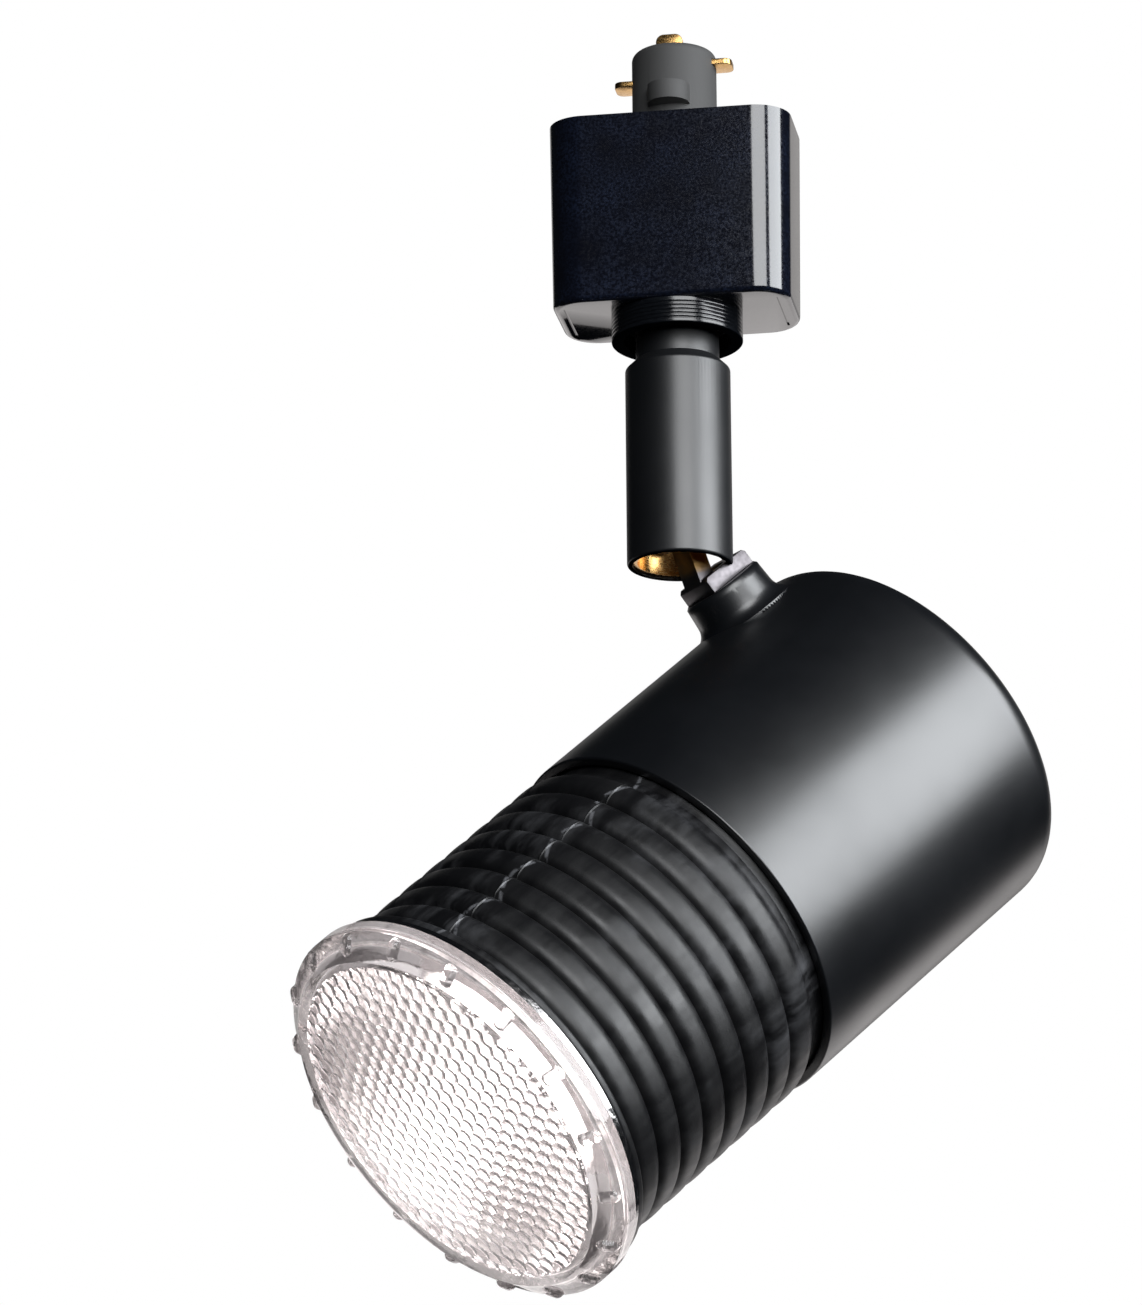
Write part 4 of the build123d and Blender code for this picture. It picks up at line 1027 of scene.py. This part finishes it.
class SPOTLIGHT_OT_lens(bpy.types.Operator):
    """Press the lens: lugs round its bevel, lenslets on its back"""

    bl_idname = "spotlight.lens"
    bl_label = "Lens"

    def execute(self, context):
        lamp = settings().lamp
        finish = finish_named("pressed_glass")
        rim_front = lens_back + lamp.rim_thickness
        overhang = 0.55 * MM
        rim = reflector_radius + overhang
        inner = rim - lamp.bevel_width
        rows, columns = 30, 40
        count = lamp.lug_count * columns
        angles = [2 * pi * (column / count) for column in range(columns + 1)]
        points, faces = [], []
        for row in range(rows + 1):
            share = row / rows
            for angle in angles:
                points.append(self.bevel_point(share, angle, lamp, rim, inner, rim_front))
        wide = columns + 1
        for row in range(rows):
            for column in range(columns):
                start = row * wide + column
                faces.append((start, start + 1, start + wide + 1, start + wide))
        sector = welded("lens_sector", [(points, faces)])
        bevel = through_tree(
            "lens_bevel", sector, repeater(), Count=lamp.lug_count, Step=(0, 0, 0),
            Turn=2 * pi / lamp.lug_count, Weld=2e-6, Finish=finish,
        )
        face_angles = even_angles(count)
        rings = 14
        radii = [inner * (1 - ring / rings) for ring in range(rings)]
        dome = [(radius, self.dome_height(radius, inner)) for radius in radii]
        back_inset = 1.4 * MM
        back_slope = 0.5 * MM
        back_radius = inner - back_inset
        rest = rounded(
            [
                (rim, rim_front, 0), (rim, lens_back, 0.35 * MM),
                (back_radius + back_slope, lens_back, 0.3 * MM),
                (back_radius, self.back_height(back_radius), 0),
            ],
            closed=False,
        )
        shells = [
            shell_of(bevel),
            turned(dome, face_angles, closed=False),
            self.cap(dome[-1], face_angles, lens_front),
            turned(rest, face_angles, closed=False),
            self.lenslets(back_radius, face_angles, lamp),
        ]
        mesh = welded("lens", shells, LAMP_PLACE, weld=2e-6)
        place_in_model(piece("prismatic_lens", mesh, finish, 12), "lamp", "lamp_glass", "lamp_lens")
        return {"FINISHED"}

    def bevel_point(self, share, angle, lamp, rim, inner, rim_front):
        """A point of the bevel, raised where a lug is."""
        inset = 0.35 * MM
        radius = rim + (inner - rim) * share
        height = rim_front + lamp.bevel_rise * share
        slope = atan2(lamp.bevel_rise, lamp.bevel_width)
        across = (share - 0.5) * sqrt(lamp.bevel_width**2 + lamp.bevel_rise**2)
        around = (angle - pi / lamp.lug_count) * radius
        reach = max(0.0, lamp.lug_length - lamp.lug_width) / 2
        away = sqrt(max(0.0, abs(across + inset) - reach) ** 2 + around**2) / (lamp.lug_width / 2)
        lift = lamp.lug_height * (1 - away**2.4) ** 0.7 if away < 1 else 0.0
        radius += lift * sin(slope)
        height += lift * cos(slope)
        return radius * cos(angle), radius * sin(angle), height

    def dome_height(self, radius, inner):
        """Height of the lens's front at a radius."""
        lamp = settings().lamp
        return lens_front - lamp.dome * (radius / inner) ** 2

    def back_height(self, radius):
        """Height of the lens's back at a radius, between its lenslets."""
        lamp = settings().lamp
        return lens_front - lamp.lens_wall - lamp.dome * (radius / reflector_radius) ** 2

    def cap(self, edge, angles, top):
        """A fan that closes the middle of the face."""
        radius, height = edge
        points = [(radius * cos(a), radius * sin(a), height) for a in angles] + [(0, 0, top)]
        count = len(angles)
        return points, [(index, (index + 1) % count, count) for index in range(count)]

    def lenslets(self, radius, angles, lamp):
        """The back of the lens: a field of six-sided lenslets that meet in sharp valleys."""
        cell = lamp.cell_pitch
        corner = cell / sqrt(3)
        fine = corner / 4
        edge = [Vector((radius * cos(a), radius * sin(a))) for a in angles]
        rows = int(radius / (fine * sqrt(3) / 2)) + 1
        columns = int(radius / fine) + 2
        points = list(edge)
        for row in range(-rows, rows + 1):
            for column in range(-columns, columns + 1):
                point = Vector(((column + (row % 2) / 2) * fine, row * fine * sqrt(3) / 2))
                if point.length < radius - 0.35 * fine:
                    points.append(point)
        flat, _, faces, *_ = delaunay_2d_cdt(points, [], [], 0, 1e-9)
        raised = [(p.x, p.y, self.lenslet_height(p, cell, radius, lamp)) for p in flat]
        return raised, [tuple(face) for face in faces]

    def lenslet_height(self, point, cell, radius, lamp):
        """Height of the back: the lens's own curve less the bulge of the nearest lenslet."""
        row_height = cell * sqrt(3) / 2
        nearest = cell
        base_row = round(point.y / row_height)
        for row in (base_row - 1, base_row, base_row + 1):
            shift = 0.5 if row % 2 else 0.0
            column = round(point.x / cell - shift)
            centre = Vector(((column + shift) * cell, row * row_height))
            nearest = min(nearest, (point - centre).length)
        bulge = 1 - (nearest / (cell / sqrt(3))) ** 2
        fade = min(1.0, max(0.0, (radius - point.length) / (0.3 * MM)))
        return self.back_height(point.length) - lamp.cell_depth * bulge * fade


class SPOTLIGHT_OT_reflector(bpy.types.Operator):
    """Blow the reflector bowl, with its mirrored inside"""

    bl_idname = "spotlight.reflector"
    bl_label = "Reflector"

    def execute(self, context):
        lamp = settings().lamp
        glass = lamp.glass
        back, mouth = reflector_back, reflector_front
        neck_length = 7.0 * MM
        neck_step = 1.7 * MM
        flange = 1.1 * MM
        throat = back + neck_length
        throat_out = lamp.throat + glass
        outside = self.bowl(throat_out, throat, mouth_radius, mouth - flange)
        inside = self.bowl(lamp.throat + 0.3 * MM, throat + 1.6 * MM, mouth_radius - glass, mouth)
        neck = throat_out - neck_step
        outline = (
            [(reflector_radius, mouth), (reflector_radius, mouth - flange)]
            + outside[::-1]
            + [(neck, throat), (neck, back), (neck - glass, back), (neck - glass, throat + 1.0 * MM)]
            + inside
        )
        mesh = welded("bowl", [turned(outline, even_angles(160))], LAMP_PLACE)
        thing = piece("mirrored_bowl", mesh, finish_named("mirror_with_painted_glow"), 35)
        place_in_model(thing, "lamp", "lamp_mirror", "lamp_reflector")
        return {"FINISHED"}

    def bowl(self, small, back, large, front):
        """Points of a parabola-like bowl from its throat to its mouth."""
        points = []
        steps = 24
        for step in range(steps + 1):
            share = step / steps
            radius = sqrt(small**2 + (large**2 - small**2) * share)
            points.append((radius, back + (front - back) * share))
        return points


class SPOTLIGHT_OT_burner(bpy.types.Operator):
    """Finish the lamp's capsule and base, and wind its filament"""

    bl_idname = "spotlight.burner"
    bl_label = "Burner and base"

    def execute(self, context):
        lamp = settings().lamp
        rows = (
            ("lamp_capsule", "lit_quartz", "quartz", 0),
            ("capsule_supports", "zinc_plate", "zinc_steel", 0),
            ("lamp_base_shell", "rolled_aluminium", "cap_aluminium", 0),
            ("lamp_base_insulator", "black_glass", "black_glass", 0),
            ("lamp_base_contact", "solder", "solder", 0),
        )
        refine_all("lamp", rows)
        finish = finish_named("lit_tungsten")
        wound = filament_front - filament_back
        coiled = 0.7
        tree = bpy.data.node_groups.get("spotlight_coil") or coil_tree()
        mesh = through_tree(
            "filament", bpy.data.meshes.new("filament"), tree, Turns=lamp.coil_turns, Radius=lamp.coil_radius,
            Length=wound * coiled, Wire=lamp.wire_radius, Finish=finish,
        )
        mesh.transform(LAMP_PLACE @ Matrix.Translation((0, 0, filament_front - wound * coiled)))
        place_in_model(piece("filament_coil", mesh, finish, 60), "lamp", "tungsten", "lamp_filament")
        return {"FINISHED"}


class SPOTLIGHT_OT_holder(bpy.types.Operator):
    """Finish the porcelain lamp holder and its metal parts"""

    bl_idname = "spotlight.holder"
    bl_label = "Lamp holder"

    def execute(self, context):
        edge = settings().stem.case_edge
        rows = (
            ("socket_body", "porcelain", "porcelain", edge),
            ("socket_shell", "rolled_aluminium", "cap_aluminium", 0),
            ("socket_contact", "drawn_brass", "contact_brass", 0),
            ("socket_terminals", "drawn_brass", "contact_brass", edge / 3),
            ("socket_screws", "zinc_plate", "zinc_steel", 0),
        )
        refine_all("head", rows)
        return {"FINISHED"}


class SPOTLIGHT_OT_stage(bpy.types.Operator):
    """Set up the camera, the lights, the floor and the backdrop"""

    bl_idname = "spotlight.stage"
    bl_label = "Studio"

    def execute(self, context):
        stage = settings().stage
        self.camera(context, stage)
        self.backdrop(stage)
        self.floor(stage)
        self.air(context)
        for name, azimuth, elevation, distance, wide, high, power, tint in (
            ("key_right", 74, 14, 2.2, 1.7, 1.7, 80, (0.94, 0.97, 1.0)),
            ("front_band", 21, 16, 2.2, 1.5, 1.5, 48, (0.97, 0.985, 1.0)),
            ("rear_low", 190, -20, 2.4, 3.6, 1.8, 24, (1.0, 0.96, 0.95)),
            ("rear_right", 166, 17, 2.4, 0.9, 1.4, 1.8, (1.0, 0.96, 0.93)),
            ("rear_left", 206, 17, 2.4, 0.9, 1.4, 1.5, (1.0, 0.98, 0.96)),
        ):
            self.softbox(context, name, azimuth, elevation, distance, (wide, high), power, tint)
        context.scene.view_settings.view_transform = "Standard"
        context.scene.view_settings.look = "None"
        return {"FINISHED"}

    def camera(self, context, stage):
        """A long lens below the fixture, looking up at it."""
        azimuth, elevation, roll = stage.azimuth, stage.elevation, stage.roll
        back = Vector((sin(azimuth) * cos(elevation), -cos(azimuth) * cos(elevation), sin(elevation)))
        level = Vector((cos(azimuth), sin(azimuth), 0))
        upright = back.cross(level)
        right = cos(roll) * level + sin(roll) * upright
        lens = bpy.data.cameras.new("studio_camera")
        lens.sensor_width = stage.sensor
        lens.lens = stage.lens
        lens.clip_start = 0.05
        lens.clip_end = 20
        eye = bpy.data.objects.new("studio_camera", lens)
        eye.matrix_world = seat(Vector(stage.aim) + back * stage.distance, right, back)
        context.scene.collection.objects.link(eye)
        context.scene.camera = eye

    def air(self, context):
        """A faint blue light from all round."""
        world = bpy.data.worlds.new("studio_air")
        world.use_nodes = True
        background = world.node_tree.nodes["Background"]
        background.inputs["Color"].default_value = (0.75, 0.85, 1.0, 1)
        background.inputs["Strength"].default_value = 0.012
        context.scene.world = world

    def backdrop(self, stage):
        """A plain white shell all round, seen by the camera but giving the fixture no light."""
        mesh = bpy.data.meshes.new("backdrop")
        form = bmesh.new()
        bmesh.ops.create_uvsphere(form, u_segments=48, v_segments=24, radius=stage.room_radius)
        form.to_mesh(mesh)
        form.free()
        paper = bpy.data.materials.new("backdrop_white")
        paper.use_nodes = True
        nodes = paper.node_tree.nodes
        nodes.clear()
        light = nodes.new("ShaderNodeEmission")
        light.inputs["Strength"].default_value = 1.0
        out = nodes.new("ShaderNodeOutputMaterial")
        paper.node_tree.links.new(light.outputs[0], out.inputs[0])
        shell = piece("backdrop", mesh, paper)
        shell.visible_diffuse = False
        shell.visible_glossy = False
        shell.visible_shadow = False

    def floor(self, stage):
        """A plain pale floor, well below the fixture, with a glow that gives the fixture no light."""
        mesh = bpy.data.meshes.new("floor")
        form = bmesh.new()
        bmesh.ops.create_circle(form, cap_ends=True, segments=96, radius=stage.room_radius * 0.99)
        bmesh.ops.translate(form, verts=form.verts, vec=(0, 0, stage.floor_level))
        form.to_mesh(mesh)
        form.free()
        finish = Finish("pale_floor", stage.floor_colour, 0.7, Emission_Strength=0.8)
        finish.shader.inputs["Emission Color"].default_value = (*stage.floor_colour, 1)
        grain = finish.noise(90, 4)
        pale = tuple(stage.floor_colour)
        finish.tint(finish.blend(finish.spread(grain, 0.3, 0.7), pale, tuple(0.97 * c for c in pale)))
        floor = piece("floor", mesh, finish.material)
        floor.visible_diffuse = False
        floor.visible_glossy = False

    def softbox(self, context, name, azimuth, elevation, distance, size, power, tint):
        """A rectangular light, aimed at the middle of the fixture."""
        lamp = bpy.data.lights.new(name, "AREA")
        lamp.shape = "RECTANGLE"
        lamp.size, lamp.size_y = size
        lamp.energy = power
        lamp.color = tint
        a, e = radians(azimuth), radians(elevation)
        out = Vector((sin(a) * cos(e), -cos(a) * cos(e), sin(e)))
        level = Vector((cos(a), sin(a), 0))
        light = bpy.data.objects.new(name, lamp)
        light.matrix_world = seat(target + out * distance, level, out)
        light.visible_camera = False
        context.scene.collection.objects.link(light)


# ---------------------------------------------------------------- panel and registration
STEPS = ("adapter", "collar", "stem", "link", "can", "boot", "lens", "reflector", "burner", "holder", "stage")


class SPOTLIGHT_PT_panel(bpy.types.Panel):
    """Buttons that build the spotlight"""

    bl_idname = "SPOTLIGHT_PT_panel"
    bl_label = "Track spotlight"
    bl_space_type = "VIEW_3D"
    bl_region_type = "UI"
    bl_category = "Spotlight"

    def draw(self, context):
        for step in STEPS:
            self.layout.operator("spotlight." + step)
        groups = context.scene.spotlight
        for group in (groups.can, groups.lamp, groups.stem, groups.colours, groups.stage):
            box = self.layout.box()
            for name in group.__annotations__:
                box.prop(group, name)


class SpotlightSettings(bpy.types.PropertyGroup):
    """Everything that a user may change."""

    can: bpy.props.PointerProperty(type=SpotlightCanSettings, name="Can", description="Can and boot")
    lamp: bpy.props.PointerProperty(type=SpotlightLampSettings, name="Lamp", description="Reflector lamp")
    stem: bpy.props.PointerProperty(type=SpotlightStemSettings, name="Stem", description="Collar and stem")
    colours: bpy.props.PointerProperty(type=SpotlightColours, name="Colours", description="Finishes")
    stage: bpy.props.PointerProperty(type=SpotlightStageSettings, name="Stage", description="Studio")


CLASSES = (
    SpotlightCanSettings,
    SpotlightLampSettings,
    SpotlightStemSettings,
    SpotlightColours,
    SpotlightStageSettings,
    SpotlightSettings,
    SPOTLIGHT_OT_adapter,
    SPOTLIGHT_OT_collar,
    SPOTLIGHT_OT_stem,
    SPOTLIGHT_OT_link,
    SPOTLIGHT_OT_can,
    SPOTLIGHT_OT_boot,
    SPOTLIGHT_OT_lens,
    SPOTLIGHT_OT_reflector,
    SPOTLIGHT_OT_burner,
    SPOTLIGHT_OT_holder,
    SPOTLIGHT_OT_stage,
    SPOTLIGHT_PT_panel,
)


def register():
    """Register the classes and hang the settings on the scene."""
    for kind in CLASSES:
        bpy.utils.register_class(kind)
    bpy.types.Scene.spotlight = bpy.props.PointerProperty(type=SpotlightSettings)


def unregister():
    """Take the classes and the settings away again."""
    del bpy.types.Scene.spotlight
    for kind in reversed(CLASSES):
        bpy.utils.unregister_class(kind)


def main():
    """Build every piece and the stage."""
    register()
    for step in STEPS:
        getattr(bpy.ops.spotlight, step)()


if __name__ == "__main__":
    main()
